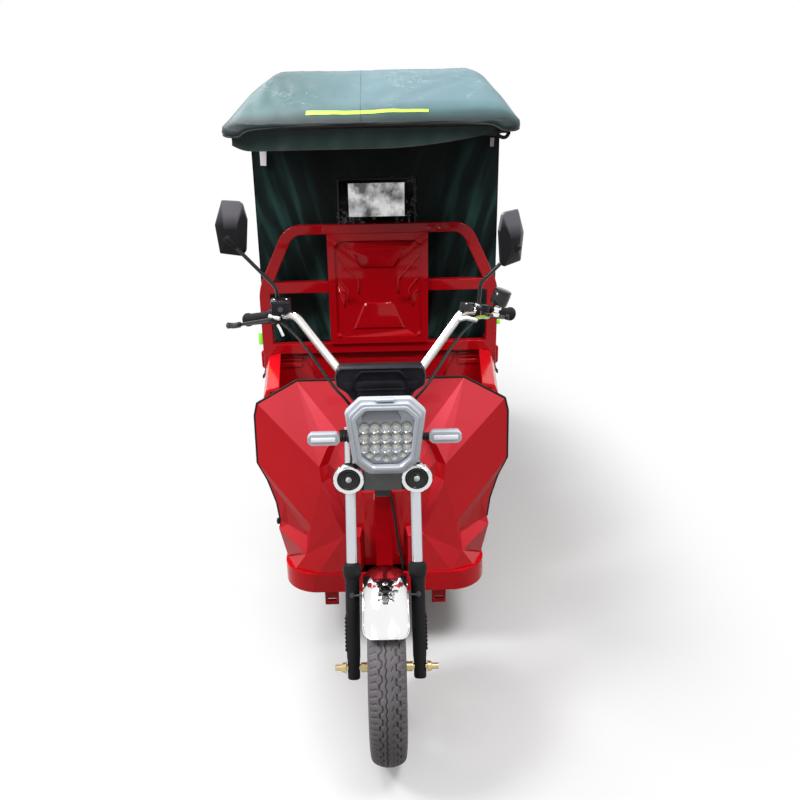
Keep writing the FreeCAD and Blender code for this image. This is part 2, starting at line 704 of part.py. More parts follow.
def octagon(half_x, half_z, y, z):
    # Eight-sided outline facing forward, about the lamp's middle
    mid = g("lamp_x")
    corner = g("lamp_cut")
    foot = half_x * 0.84
    out = []
    out.append(V(mid - half_x + corner, y, z + half_z))
    out.append(V(mid + half_x - corner, y, z + half_z))
    out.append(V(mid + half_x, y, z + half_z - corner))
    out.append(V(mid + foot, y, z - half_z + corner * 0.9))
    out.append(V(mid + foot - corner, y, z - half_z))
    out.append(V(mid - foot + corner, y, z - half_z))
    out.append(V(mid - foot, y, z - half_z + corner * 0.9))
    out.append(V(mid - half_x, y, z + half_z - corner))
    return out


# Headlamp: stepped bezel, lens and LED plate, then the bowl behind
lx = g("lamp_x")
ly = g("lamp_y")
lz = g("lamp_z")
lh = g("lamp_half")
lt = g("lamp_tall")
ls = g("lamp_step")
bezel = prism(octagon(lh, lt, ly + ls, lz), V(0, g("lamp_depth") - ls, 0))
bezel = bezel.fuse(prism(octagon(lh - ls, lt - ls, ly, lz), V(0, ls, 0)))
lens_cut = prism(octagon(lh - ls * 2, lt - ls * 2, ly, lz), V(0, g("lamp_recess") * 2, 0))
bezel = bezel.cut(lens_cut)
bowl_from = ly + g("lamp_depth")
bowl = Part.makeCylinder(g("bowl_radius"), g("bowl_depth"), V(lx, bowl_from, lz), V(0, 1, 0))
bracket_half = lh * 0.45
bracket = block(-bracket_half, bracket_half, bowl_from + g("bowl_depth") - 10, g("bar_centre_y") + 18, lz - 40, lz - 12)
lamp = bezel.fuse(bowl).fuse(bracket).cut(yoke_shape).cut(bar_shape).removeSplitter()
lamp_shell = feature("headlamp_shell", max(lamp.Solids, key=lambda s: s.Volume))
lens = prism(octagon(lh - ls * 2, lt - ls * 2, ly + g("lamp_recess"), lz), V(0, g("lens_metal"), 0))
lamp_lens = feature("headlamp_lens", lens)

# Disc horns on one plate
hy = g("horn_y")
hz = g("horn_z")
hx = g("horn_x")
disc = Part.makeCylinder(g("horn_radius"), g("horn_depth"), V(hx, hy, hz), V(0, 1, 0))
groove = Part.makeCylinder(g("horn_radius") * 0.74, 5, V(hx, hy, hz), V(0, 1, 0))
knob = Part.makeCylinder(g("horn_radius") * 0.2, 9, V(hx, hy, hz), V(0, 1, 0))
disc = disc.cut(groove).fuse(knob)
hp = g("horn_plate")
ph = g("plate_half")
pt = g("plate_tall") / 2
plate_z = hz - g("plate_drop")
carrier_back = hy + g("horn_depth") + hp
carrier = block(-hx - 18, hx + 18, hy + g("horn_depth"), carrier_back, hz - 14, hz + 14)
carrier = carrier.fuse(block(-ph, ph, hy + 8, carrier_back, plate_z - pt, plate_z + pt))
arm = block(-20, 20, hy + g("horn_depth"), hy + g("arm_reach"), hz - 60, hz - 14)
horns = carrier.fuse(disc).fuse(flip(disc)).fuse(arm).cut(plates).cut(Part.makeCompound([tube, flip(tube)]))
horns = max(horns.Solids, key=lambda s: s.Volume).removeSplitter()
horn_set = feature("horn_set", horns)

# Turn signals on short stalks
sf = g("signal_from")
st = g("signal_to")
sz = g("signal_z")
sh = g("signal_tall") / 2
sc = g("signal_cut")
sy = hy - 8
pod = []
pod.append(V(sf + sc, sy, sz - sh))
pod.append(V(st - sc, sy, sz - sh))
pod.append(V(st, sy, sz - sh + sc))
pod.append(V(st, sy, sz + sh - sc))
pod.append(V(st - sc, sy, sz + sh))
pod.append(V(sf + sc, sy, sz + sh))
pod.append(V(sf, sy, sz + sh - sc))
pod.append(V(sf, sy, sz - sh + sc))
pod_shape = prism(pod, V(0, g("signal_depth"), 0))
stalk = Part.makeCylinder(g("stalk_radius"), sf - lh * 0.4, V(lh * 0.4, sy + g("signal_depth") / 2, sz), V(1, 0, 0))
both_signals = []
for side_signal in (pod_shape.fuse(stalk), flip(pod_shape.fuse(stalk))):
    side_signal.translate(V(g("signal_x"), 0, 0))
    side_signal = side_signal.cut(lamp_shell.Shape)
    both_signals.append(max(side_signal.Solids, key=lambda s: s.Volume))
signals = feature("turn_signals", Part.makeCompound(both_signals))

# Front mudguard: domed band about the axle with side stays to the fork
gr = g("guard_radius")
gc = g("guard_crown")
gm = g("guard_metal")
gh = g("guard_half")
section = []
section.append(V(-gh, 0, gr - gc))
section.append(V(-gh * 0.62, 0, gr - gc * 0.25))
section.append(V(0, 0, gr))
section.append(V(gh * 0.62, 0, gr - gc * 0.25))
section.append(V(gh, 0, gr - gc))
section.append(V(gh, 0, gr - gc - gm))
section.append(V(gh * 0.6, 0, gr - gc * 0.25 - gm))
section.append(V(0, 0, gr - gm))
section.append(V(-gh * 0.6, 0, gr - gc * 0.25 - gm))
section.append(V(-gh, 0, gr - gc - gm))
face = Part.Face(Part.makePolygon(section + [section[0]]))
face.rotate(V(0, 0, 0), V(1, 0, 0), -g("guard_from"))
band = face.revolve(V(0, 0, 0), V(1, 0, 0), g("guard_from") - g("guard_to"))
band.translate(V(0, 0, g("wheel_radius")))
stay_low = gr - gc - 2
stay = block(gh - 8, leg, -g("stay_width") / 2, g("stay_width") / 2, stay_low, stay_low + g("stay_metal"))
stay.Placement = lean
both = lower.fuse(flip(lower))
guard = band.fuse(stay).fuse(flip(stay)).cut(both)
guard = max(guard.Solids, key=lambda s: s.Volume)
mudguard = feature("front_mudguard", guard)

# Cables from the bar controls to the lamp's carrier
carrier_top = V(bracket_half - 4, bowl_from + g("bowl_depth") + 39, lz - 26)
run_a = []
run_a.append(switch_mid + V(0, 0, -12))
run_a.append(knee + V(-g("cable_radius"), -g("cable_slack_y"), -g("cable_slack_z")))
run_a.append(carrier_top + V(g("cable_out"), g("cable_back"), g("cable_up")))
run_a.append(carrier_top + V(g("cable_out") * 0.7, g("cable_back") * 0.15, g("cable_up") * 0.3))
run_a.append(carrier_top)
cable_a = pipe(run_a, 60, g("cable_radius")).cut(left_hold).cut(lamp_shell.Shape)
cable_a = max(cable_a.Solids, key=lambda s: s.Volume)
cable_b = flip(pipe(run_a, 60, g("cable_radius"))).cut(right_hold).cut(lamp_shell.Shape)
cable_b = max(cable_b.Solids, key=lambda s: s.Volume)
cables = feature("control_cables", Part.makeCompound([cable_a, cable_b]))

# Chassis: headstock, neck, rails, kick-up and cross members
fo = g("fork_offset")
head_low = g("yoke_low") + g("yoke_plate") + g("head_gap")
head_high = g("yoke_high") - g("head_gap")
head = Part.makeCylinder(g("head_radius"), head_high - head_low, V(0, fo, head_low))
head_bore = Part.makeCylinder(g("stem_radius") + g("bearing_gap"), head_high, V(0, fo, 0))
head.Placement = lean
head_bore.Placement = lean
nw = g("neck_width") / 2
nd = g("neck_depth")
face_y = g("shield_face_y")
fz = g("floor_z")
rt = g("rail_tall")
neck = []
neck.append(leaning(-nw, fo + 18, head_low + 8))
neck.append(leaning(-nw, fo + 18, head_high - 4))
neck.append(leaning(-nw, fo + 68, head_high - 16))
neck.append(V(-nw, face_y, fz + 262))
neck.append(V(-nw, face_y, fz - rt))
neck.append(V(-nw, face_y - nd, fz - rt))
neck.append(V(-nw, face_y - nd, fz + 238))
neck.append(leaning(-nw, fo + 64, head_low + 8))
neck_shape = prism(neck, V(nw * 2, 0, 0))
rx = g("rail_x")
rh = g("rail_half")
dz = g("deck_z")
kf = g("kick_from")
kt = g("kick_to")
bb = g("box_back")
rail_start = g("floor_front") + g("skirt_metal")
outline = []
outline.append(V(rx - rh, rail_start, fz - rt))
outline.append(V(rx - rh, kf, fz - rt))
outline.append(V(rx - rh, kt, dz - rt))
outline.append(V(rx - rh, bb, dz - rt))
outline.append(V(rx - rh, bb, dz))
outline.append(V(rx - rh, kt, dz))
outline.append(V(rx - rh, kf, fz))
outline.append(V(rx - rh, rail_start, fz))
rail = prism(outline, V(rh * 2, 0, 0))
cd = g("cross_depth")
frame_shape = head.fuse(neck_shape).fuse(rail).fuse(flip(rail))
frame_shape = frame_shape.fuse(block(-rx, rx, rail_start, face_y, fz - rt, fz))
frame_shape = frame_shape.fuse(block(-rx, rx, kf - cd, kf, fz - rt, fz))
bh = g("box_half")
bf = g("box_front")
frame_shape = frame_shape.fuse(block(-bh + 2, bh - 2, bf, bf + cd, dz - rt, dz))
frame_shape = frame_shape.fuse(block(-rx, rx, g("wheelbase") - cd / 2, g("wheelbase") + cd / 2, dz - rt, dz))
frame_shape = frame_shape.fuse(block(-bh + 2, bh - 2, bb - cd, bb, dz - rt, dz))
wb = g("wheelbase")
span = g("spring_span")
sag = g("spring_sag")
for way in (-1, 1):
    hanger = block(rx - rh, rx + rh, wb + way * span - 14, wb + way * span + 14, dz - rt - 44, dz - rt)
    frame_shape = frame_shape.fuse(hanger).fuse(flip(hanger))
lug = block(g("lug_x") - g("lug_half"), g("lug_x") + g("lug_half"), g("lug_y"), g("lug_y") + g("lug_metal"), g("lug_low"), fz)
slot = block(g("lug_x") - g("slot_half"), g("lug_x") + g("slot_half"), g("lug_y") - 1, g("lug_y") + g("lug_metal") + 1, g("lug_low") + 14, g("lug_low") + 14 + g("slot_tall"))
for way in (-1, 1):
    slot = slot.fuse(Part.makeCylinder(g("slot_tall") / 2, g("lug_metal") + 2, V(g("lug_x") + way * g("slot_half"), g("lug_y") - 1, g("lug_low") + 14 + g("slot_tall") / 2), V(0, 1, 0)))
lug = lug.cut(slot)
tail_bar = block(rx - rh, rx + rh, bb - cd, bb - cd + 20, g("tail_z") - 30, dz - rt)
frame_shape = frame_shape.fuse(lug).fuse(flip(lug)).fuse(tail_bar).fuse(flip(tail_bar))
tb = g("tail_x") + g("tail_half")
frame_shape = frame_shape.fuse(block(-tb, tb, bb - cd, bb - cd + 20, g("tail_z") - 30, g("tail_z") + 30))
hr = g("hinge_radius")
hinge_y = bb + g("gate_gap") + g("gate_depth") / 2
hinge_z = dz - 2
for x_at in (-g("hinge_x"), g("hinge_x")):
    ear = g("knuckle_width") / 2 + 1
    frame_shape = frame_shape.fuse(block(x_at - ear - 7, x_at - ear, bb, hinge_y + hr, hinge_z - hr, hinge_z + hr))
    frame_shape = frame_shape.fuse(block(x_at + ear, x_at + ear + 7, bb, hinge_y + hr, hinge_z - hr, hinge_z + hr))
    pin = Part.makeCylinder(g("hinge_pin"), ear * 2, V(x_at - ear, hinge_y, hinge_z), V(1, 0, 0))
    frame_shape = frame_shape.fuse(pin)
frame_shape = frame_shape.cut(head_bore).removeSplitter()
chassis = feature("chassis_frame", frame_shape)

# Rear axle with motor and leaf springs
ry = V(0, wb, g("wheel_radius"))
inner = g("rear_track") / 2 - g("hub_width") / 2 - 4
axle = Part.makeCylinder(g("housing_radius"), inner * 2, V(-inner, wb, ry.z), V(1, 0, 0))
axle = axle.fuse(Part.makeCylinder(g("shaft_radius"), g("rear_track") + g("hub_width") + 24, V(-g("rear_track") / 2 - g("hub_width") / 2 - 12, wb, ry.z), V(1, 0, 0)))
axle = axle.fuse(Part.makeCylinder(g("motor_radius"), g("motor_width"), V(-g("motor_width") / 2, wb, ry.z), V(1, 0, 0)))
top_z = dz - rt - 44
sm = g("spring_metal")
low_z = ry.z + g("housing_radius")
arc_top = Part.Arc(V(0, wb - span, top_z), V(0, wb, low_z + sm), V(0, wb + span, top_z)).toShape()
arc_low = Part.Arc(V(0, wb - span, top_z - sm), V(0, wb, low_z), V(0, wb + span, top_z - sm)).toShape()
end_a = Part.LineSegment(V(0, wb + span, top_z), V(0, wb + span, top_z - sm)).toShape()
end_b = Part.LineSegment(V(0, wb - span, top_z - sm), V(0, wb - span, top_z)).toShape()
leaf = Part.Face(Part.Wire([arc_top, end_a, arc_low.reversed(), end_b])).extrude(V(g("spring_half") * 2, 0, 0))
leaf.translate(V(rx - g("spring_half"), 0, 0))
pad_a = block(rx - g("spring_half"), rx + g("spring_half"), wb - 40, wb + 40, ry.z, low_z + sm / 2)
axle = axle.fuse(leaf).fuse(flip(leaf)).fuse(pad_a).fuse(flip(pad_a)).removeSplitter()
housing = feature("axle_housing", axle)

# Footwell floor with rounded front skirt
fh = g("floor_half")
ff = g("floor_front")
fc = g("floor_corner")


def floor_outline(inset, z):
    half = fh - inset
    front = ff + inset
    radius = fc - inset
    k = radius * (1 - math.sqrt(0.5))
    back = g("kick_from")
    edges = []
    edges.append(Part.LineSegment(V(-half, back, z), V(-half, front + radius, z)).toShape())
    edges.append(Part.Arc(V(-half, front + radius, z), V(-half + k, front + k, z), V(-half + radius, front, z)).toShape())
    edges.append(Part.LineSegment(V(-half + radius, front, z), V(half - radius, front, z)).toShape())
    edges.append(Part.Arc(V(half - radius, front, z), V(half - k, front + k, z), V(half, front + radius, z)).toShape())
    edges.append(Part.LineSegment(V(half, front + radius, z), V(half, back, z)).toShape())
    edges.append(Part.LineSegment(V(half, back, z), V(-half, back, z)).toShape())
    return Part.Face(Part.Wire(edges))


fm = g("floor_metal")
sl = g("skirt_low")
pan = floor_outline(0, sl).extrude(V(0, 0, fz + fm - sl))
pan = pan.cut(floor_outline(g("skirt_metal"), sl).extrude(V(0, 0, fz - sl)))
pan = pan.cut(block(-rx - rh, rx + rh, kf - 6, kf + 2, sl, fz)).cut(lug).cut(flip(lug))
back_floor = block(-fh, fh, kf, bf - g("post_depth"), fz, fz + fm)
pan = pan.fuse(back_floor).cut(frame_shape).removeSplitter()
floor_pan = feature("floor_pan", max(pan.Solids, key=lambda s: s.Volume))

# Faceted front shield: a sheet of flat facets about a sunk middle, with side scoops
top = g("shield_top")
by = g("shield_back_y")
foot_z = fz + fm
foot_half = fh - g("foot_inset")
foot_front = ff + g("foot_inset")
foot_corner = fc - g("foot_inset")
foot_k = foot_corner * (1 - math.sqrt(0.5))
rc = g("recess_x")


def spot(name, x, y, z):
    # Corner of the shield, with its three places in the sheet
    return V(size(name + "_x", x), size(name + "_y", y), size(name + "_z", z))


crown = V(0, by, top)
brow = spot("brow", 253, by, top)
shoulder = spot("shoulder", 378, by, 834)
shoulder_low = spot("shoulder_low", 388, by, 794)
hip = spot("hip", 390, 494, 639)
waist = spot("waist", 362, 490, 581)
waist_low = spot("waist_low", 337, 480, 505)
notch = spot("notch", 329, 475, 445)
ledge_tip = spot("ledge_tip", 335, 468, 419)
foot_side = V(foot_half, foot_front + foot_corner, foot_z)
foot_arc = V(foot_half - foot_k, foot_front + foot_k, foot_z)
foot_bend = V(foot_half - foot_corner, foot_front, foot_z)
scoop_top = spot("scoop_top", 307, 462, 515)
scoop_in = spot("scoop_in", 227, 412, 455)
ledge_back = spot("ledge_back", 305, 470, 432)
ledge_in = spot("ledge_in", 243, 434, 410)
ledge_low = spot("ledge_low", 246, 404, 360)
rim_high = spot("rim_high", 129, 463, 744)
rim_bulge = spot("rim_bulge", 167, 438, 707)
rim_wide = spot("rim_wide", 192, 421, 653)
rim_turn = spot("rim_turn", 187, 414, 603)
rim_low = spot("rim_low", 146, 398, 484)
rim_foot = spot("rim_foot", 122, 391, 431)
rim_in = spot("rim_in", 74, 388, 427)
rim_end = V(rim_in.x, foot_front, foot_z)
sink_high = spot("sink_high", 106, 478, 738)
sink_bulge = spot("sink_bulge", 146, 462, 700)
sink_wide = spot("sink_wide", 167, 450, 650)
sink_turn = spot("sink_turn", 161, 446, 604)
sink_low = spot("sink_low", 126, 438, 492)
sink_foot = spot("sink_foot", 106, 432, 442)
sink_in = V(rc + 6, face_y + 3, sink_foot.z - 6)
sink_end = V(rc, face_y, foot_z)
sink_neck = V(rc, face_y, fz + 262)
mid_high = V(0, face_y + 52, sink_high.z + 20)
mid_neck = V(0, face_y, fz + 262)
mid_foot = V(0, face_y, foot_z)
facets = []
facets.append([crown, brow, rim_high])
facets.append([crown, rim_high, mid_high])
facets.append([brow, rim_bulge, rim_high])
facets.append([brow, rim_wide, rim_bulge])
facets.append([brow, shoulder, rim_wide])
facets.append([shoulder, shoulder_low, rim_wide])
facets.append([shoulder_low, hip, rim_wide])
facets.append([hip, rim_turn, rim_wide])
facets.append([hip, scoop_in, rim_turn])
facets.append([hip, scoop_top, scoop_in])
facets.append([hip, waist, scoop_top])
facets.append([waist, waist_low, scoop_top])
facets.append([waist_low, notch, scoop_top])
facets.append([notch, ledge_back, scoop_top])
facets.append([scoop_top, ledge_back, ledge_in])
facets.append([scoop_top, ledge_in, scoop_in])
facets.append([scoop_in, ledge_in, ledge_low])
facets.append([notch, ledge_tip, ledge_back])
facets.append([ledge_back, ledge_tip, ledge_low])
facets.append([ledge_back, ledge_low, ledge_in])
facets.append([ledge_tip, foot_side, ledge_low])
facets.append([foot_side, foot_arc, ledge_low])
facets.append([foot_arc, foot_bend, ledge_low])
facets.append([rim_turn, scoop_in, rim_low])
facets.append([scoop_in, ledge_low, rim_low])
facets.append([rim_low, ledge_low, rim_foot])
facets.append([rim_foot, ledge_low, foot_bend])
facets.append([rim_foot, foot_bend, rim_end])
facets.append([rim_foot, rim_end, rim_in])
facets.append([mid_high, rim_high, sink_high])
facets.append([rim_high, rim_bulge, sink_bulge])
facets.append([rim_high, sink_bulge, sink_high])
facets.append([rim_bulge, rim_wide, sink_wide])
facets.append([rim_bulge, sink_wide, sink_bulge])
facets.append([rim_wide, rim_turn, sink_turn])
facets.append([rim_wide, sink_turn, sink_wide])
facets.append([rim_turn, rim_low, sink_low])
facets.append([rim_turn, sink_low, sink_turn])
facets.append([rim_low, rim_foot, sink_foot])
facets.append([rim_low, sink_foot, sink_low])
facets.append([rim_foot, rim_in, sink_in])
facets.append([rim_foot, sink_in, sink_foot])
facets.append([rim_in, rim_end, sink_end])
facets.append([rim_in, sink_end, sink_in])
facets.append([mid_high, sink_high, sink_neck])
facets.append([sink_high, sink_bulge, sink_neck])
facets.append([sink_bulge, sink_wide, sink_neck])
facets.append([sink_wide, sink_turn, sink_neck])
facets.append([sink_turn, sink_low, sink_neck])
facets.append([sink_low, sink_foot, sink_neck])
facets.append([sink_foot, sink_in, sink_neck])
facets.append([sink_in, sink_end, sink_neck])
facets.append([mid_high, sink_neck, mid_neck])
facets.append([mid_neck, sink_neck, sink_end])
facets.append([mid_neck, sink_end, mid_foot])
push = V(0, g("shield_metal"), 0)


def flat(corners):
    return Part.Face(Part.makePolygon(corners + [corners[0]]))


skin = []
for f in facets:
    skin.append(flat(f))
    skin.append(flat([p + push for p in f]))
rim = [crown, brow, shoulder, shoulder_low, hip, waist, waist_low, notch, ledge_tip, foot_side]
rim += [foot_arc, foot_bend, rim_end, sink_end, mid_foot, mid_neck, mid_high, crown]
for p, q in zip(rim, rim[1:]):
    skin.append(flat([p, q, q + push]))
    skin.append(flat([p, q + push, p + push]))
half_solid = Part.Solid(Part.Shell(skin))
if half_solid.Volume < 0:
    half_solid.reverse()
shield_shape = half_solid.fuse(flip(half_solid)).removeSplitter().cut(frame_shape)
shield_shape = max(shield_shape.Solids, key=lambda s: s.Volume)
shield = feature("front_shield", shield_shape)

# Rubber trim along the shield's edge
lift = V(0, g("shield_metal") / 2, 0)
edge_points = [p + lift for p in (notch, waist_low, waist, hip, shoulder_low, shoulder, brow)]
edge_points += [V(-p.x, p.y, p.z) for p in reversed(edge_points)]
trim_shape = pipe(edge_points, 8, g("trim_radius")).cut(shield_shape)
trim = feature("shield_trim", max(trim_shape.Solids, key=lambda s: s.Volume))

# Seat box, battery and hinged seat
seat_h = g("seat_half")
seat_f = g("seat_front")
seat_b = g("seat_back")
seat_t = g("seat_box_top")
shell_out = box("seat_box_outer", "Dim.seat_half*2", "Dim.seat_back-Dim.seat_front", "Dim.seat_box_top-Dim.floor_z-Dim.floor_metal", "-Dim.seat_half", "Dim.seat_front", "Dim.floor_z+Dim.floor_metal")
shell_in = box("seat_box_inner", "(Dim.seat_half-Dim.seat_wall)*2", "Dim.seat_back-Dim.seat_front-Dim.seat_wall*2", "Dim.seat_box_top", "-Dim.seat_half+Dim.seat_wall", "Dim.seat_front+Dim.seat_wall", "Dim.floor_z")
seat_shell = cut("seat_shell", shell_out, shell_in)
battery = box("battery_block", "Dim.battery_half*2", "Dim.battery_depth", "Dim.battery_tall", "-Dim.battery_half", "(Dim.seat_front+Dim.seat_back-Dim.battery_depth)/2", "Dim.floor_z+Dim.floor_metal")

# Seat hinge: ears and pins on the box, knuckles under the cushion
hinge_line_y = "Dim.seat_front-Dim.seat_barrel-2"
hinge_line_z = "Dim.seat_box_top-Dim.seat_barrel-1"
box_parts = [seat_shell]
for word, low_x in (("left", "Dim.seat_hinge_x"), ("right", "-Dim.seat_hinge_x-Dim.seat_knuckle")):
    ear_x = (low_x + "-Dim.seat_ear-1", low_x + "+Dim.seat_knuckle+1")
    for side_word, at_x in zip(("a", "b"), ear_x):
        eye = cylinder("seat_eye_%s_%s" % (word, side_word), "Dim.seat_barrel", "Dim.seat_ear", at_x, hinge_line_y, hinge_line_z, V(1, 0, 0))
        root = box("seat_ear_%s_%s" % (word, side_word), "Dim.seat_ear", "Dim.seat_barrel+2", "Dim.seat_barrel*2", at_x, hinge_line_y, hinge_line_z + "-Dim.seat_barrel")
        box_parts += [eye, root]
    pin = cylinder("seat_pin_%s" % word, "Dim.seat_pin", "Dim.seat_knuckle+2", low_x + "-1", hinge_line_y, hinge_line_z, V(1, 0, 0))
    box_parts.append(pin)
seat_box = fused("seat_box", box_parts)
cushion = box("seat_block", "(Dim.seat_half+Dim.seat_reach)*2", "Dim.seat_back-Dim.seat_front+Dim.seat_lead+2", "Dim.seat_thick", "-Dim.seat_half-Dim.seat_reach", "Dim.seat_front-Dim.seat_lead", "Dim.seat_box_top+Dim.seat_gap")
doc.recompute()
seat_pad = doc.addObject("Part::Fillet", "seat_pad")
seat_pad.Base = cushion
seat_round = g("seat_round")
upper_edges = [i + 1 for i, e in enumerate(cushion.Shape.Edges) if e.BoundBox.ZMax > seat_t + g("seat_thick") * 0.6]
seat_pad.Edges = [(i, seat_round, seat_round) for i in upper_edges]
seat_parts = [seat_pad]
bores = []
for word, low_x in (("left", "Dim.seat_hinge_x"), ("right", "-Dim.seat_hinge_x-Dim.seat_knuckle")):
    seat_parts.append(cylinder("seat_barrel_%s" % word, "Dim.seat_barrel", "Dim.seat_knuckle", low_x, hinge_line_y, hinge_line_z, V(1, 0, 0)))
    seat_parts.append(box("seat_leaf_%s" % word, "Dim.seat_knuckle", "4", "Dim.seat_barrel+Dim.seat_gap+3", low_x, hinge_line_y + "-2", hinge_line_z))
    bores.append(cylinder("seat_bore_%s" % word, "Dim.seat_pin+Dim.pin_gap", "Dim.seat_knuckle", low_x, hinge_line_y, hinge_line_z, V(1, 0, 0)))
seat = cut("seat_cushion", fused("seat_solid", seat_parts), fused("seat_bores", bores))

# Side fairings of the footwell
po = g("post_depth")
rtop = g("rail_top")


def fairing_outline(y, taper):
    # Curved side skin, outer face then inner face
    half = bh - taper
    out = []
    out.append(V(half - 68, y, rtop - 48))
    out.append(V(half - 34, y, rtop - 56))
    out.append(V(half - 26, y, rtop - 80))
    out.append(V(half - 30, y, dz))
    out.append(V(fh, y, fz + 28))
    out.append(V(fh, y, fz))
    out.append(V(fh + 14, y, fz))
    out.append(V(fh + 14, y, fz + 22))
    out.append(V(half - 14, y, dz - 6))
    out.append(V(half - 10, y, rtop - 74))
    out.append(V(half - 22, y, rtop - 44))
    out.append(V(half - 68, y, rtop - 34))
    return Part.makePolygon(out + [out[0]])


edge_y = g("side_edge_y")
edge_lean = g("side_edge_lean")
side_skin = Part.makeLoft([fairing_outline(bf - po, 0), fairing_outline(edge_y, g("side_taper"))], True, True)
slant_low = V(0, edge_y + edge_lean - 80, fz - 98)
slant_high = V(0, edge_y + edge_lean, rtop + 95)
slant = prism([V(0, edge_y - 20, slant_low.z), slant_low, slant_high, V(0, edge_y - 20, slant_high.z)], V(bh * 2, 0, 0))
side_skin = side_skin.cut(slant)
fairings = feature("side_guards", Part.makeCompound([side_skin, flip(side_skin)]))

# Cargo deck with bench frames
dm = g("deck_metal")
deck = block(-bh, bh, bf, bb, dz, dz + dm)
bw = g("bench_width")
bt = g("bench_top")
bi = g("bench_inset")
wall = g("wall_metal")
inner_x = bh - wall
bench = block(inner_x - bw, inner_x, bf + bi, bb - bi, bt - 6, bt)
bench = bench.fuse(block(inner_x - bw, inner_x - bw + 6, bf + bi, bb - bi, dz + dm, bt))
deck = deck.fuse(bench).fuse(flip(bench)).removeSplitter()
deck_floor = feature("cargo_floor", deck)
pad_x = inner_x - bw + 4
cushion_a = block(pad_x, inner_x - 6, bf + bi + 10, bb - bi - 10, bt, bt + g("bench_pad"))
cushion_a = cushion_a.makeFillet(12, [e for e in cushion_a.Edges if e.BoundBox.ZMin > bt + 10])
pads = feature("bench_cushions", Part.makeCompound([cushion_a, flip(cushion_a)]))

# Front wall of the box: ribs and winged boss
rs = g("rail_size")
pw = g("post_width")
wx = bh - pw
wy = bf - 10
rd = g("rib_depth")
front_wall = block(-wx, wx, wy, wy + wall, dz, rtop - rs)
for z_at, thick, inset in ((rtop - rs - 16, 4, 18), (rtop - rs - 30, 4, 18), (rtop - rs - 52, 8, 14)):
    rib = block(wx - inset - 92, wx - inset, wy - rd, wy, z_at - thick, z_at + thick)
    front_wall = front_wall.fuse(rib).fuse(flip(rib))
wing_half = bh - 155
wing_y = wy - rd
wing = []
wing.append(V(wing_half, wing_y, rtop - rs - 10))
wing.append(V(wing_half / 2, wing_y, rtop - rs - 8))
wing.append(V(wing_half / 2 - 18, wing_y, rtop - rs - 30))
wing.append(V(0, wing_y, rtop - rs - 30))
wing.append(V(0, wing_y, dz + 30))
wing.append(V(wing_half - 100, wing_y, dz + 30))
wing_shape = prism(wing, V(0, rd, 0))
front_wall = front_wall.fuse(wing_shape).fuse(flip(wing_shape)).removeSplitter()
wall_front = feature("box_front_wall", front_wall)

# Side walls with top rail, stamped panels and rope hooks
side_wall = block(bh - wall, bh, bf, bb, dz + dm, rtop - rs)
side_wall = side_wall.fuse(block(bh - rs, bh, bf, bb, rtop - rs, rtop))
count = 3
pitch = (bb - bf) / count
for i in range(count):
    y0 = bf + pitch * i + g("panel_inset")
    y1 = bf + pitch * (i + 1) - g("panel_inset")
    swell = prism([V(bh, y0, dz + 40), V(bh, y1, dz + 40), V(bh, y1 - 40, rtop - rs - 30), V(bh, y0 + 40, rtop - rs - 30)], V(rd, 0, 0))
    side_wall = side_wall.fuse(swell)
for y_at in (bf + 40, bb - 60):
    hook = pipe([V(bh - 4, y_at, rtop - 40), V(bh + 15, y_at, rtop - 52), V(bh + 15, y_at, rtop - 112), V(bh - 2, y_at, rtop - 124)], 8, 5)
    side_wall = side_wall.fuse(hook)
side_wall = side_wall.removeSplitter()
wall_left = feature("box_side_left", side_wall)
wall_right = feature("box_side_right", flip(side_wall))

# Arch frame behind the driver
at = g("arch_top")
lean_x = g("arch_lean")
bar_high = g("arch_bar")


def arch_plate(inset, high, corner, bend):
    # Upright outline that leans in over its upper part, with round corners
    across = inset * math.sqrt(1 + lean_x * lean_x)
    turn_z = g("arch_lean_z") - (across - inset) / lean_x
    half = bh - inset
    top_half = half - lean_x * (high - turn_z)
    out = []
    out.append(V(half, bf - po, dz))
    out.append(V(half, bf - po, turn_z))
    out.append(V(top_half, bf - po, high))
    out.append(V(-top_half, bf - po, high))
    out.append(V(-half, bf - po, turn_z))
    out.append(V(-half, bf - po, dz))
    plate = prism(out, V(0, po, 0))
    turns = [e for e in plate.Edges if e.BoundBox.ZLength < 1 and abs(e.BoundBox.ZMax - turn_z) < 1 and e.BoundBox.XLength < 1]
    plate = plate.makeFillet(bend, turns)
    tops = [e for e in plate.Edges if e.BoundBox.ZLength < 1 and abs(e.BoundBox.ZMax - high) < 1 and e.BoundBox.XLength < 1]
    return plate.makeFillet(corner, tops)


arch = arch_plate(0, at, g("arch_corner"), g("arch_bend"))
arch = arch.cut(arch_plate(pw, at - bar_high, g("arch_corner") - bar_high, g("arch_bend") - pw))
arch = arch.fuse(block(-wx, wx, bf - po, bf, rtop - rs, rtop))
mr = g("mid_rail_z")
mrt = g("mid_rail_tall")
arch = arch.fuse(block(-wx, wx, bf - po, bf, mr, mr + mrt)).removeSplitter()
arch_frame = feature("arch_frame", arch)

# Stamped backrest panel
bk = g("back_half")
bd = g("back_border")
bl = g("back_lip")
panel_low = rtop
panel_high = at - bar_high + 2
py = bf - po - bl
floor_y = py + bl - g("back_metal")
panel = block(-bk, bk, py, py + bl, panel_low, panel_high)
hollow = block(-bk + bd, bk - bd, py - 1, floor_y, panel_low + bd, panel_high - bd)
for z_at in (panel_low + bd, panel_high - bd):
    for x_at in (-bk + bd, bk - bd):
        hollow = hollow.cut(Part.makeCylinder(g("notch_radius"), bl + 2, V(x_at, py - 2, z_at), V(0, 1, 0)))
panel = panel.cut(hollow)


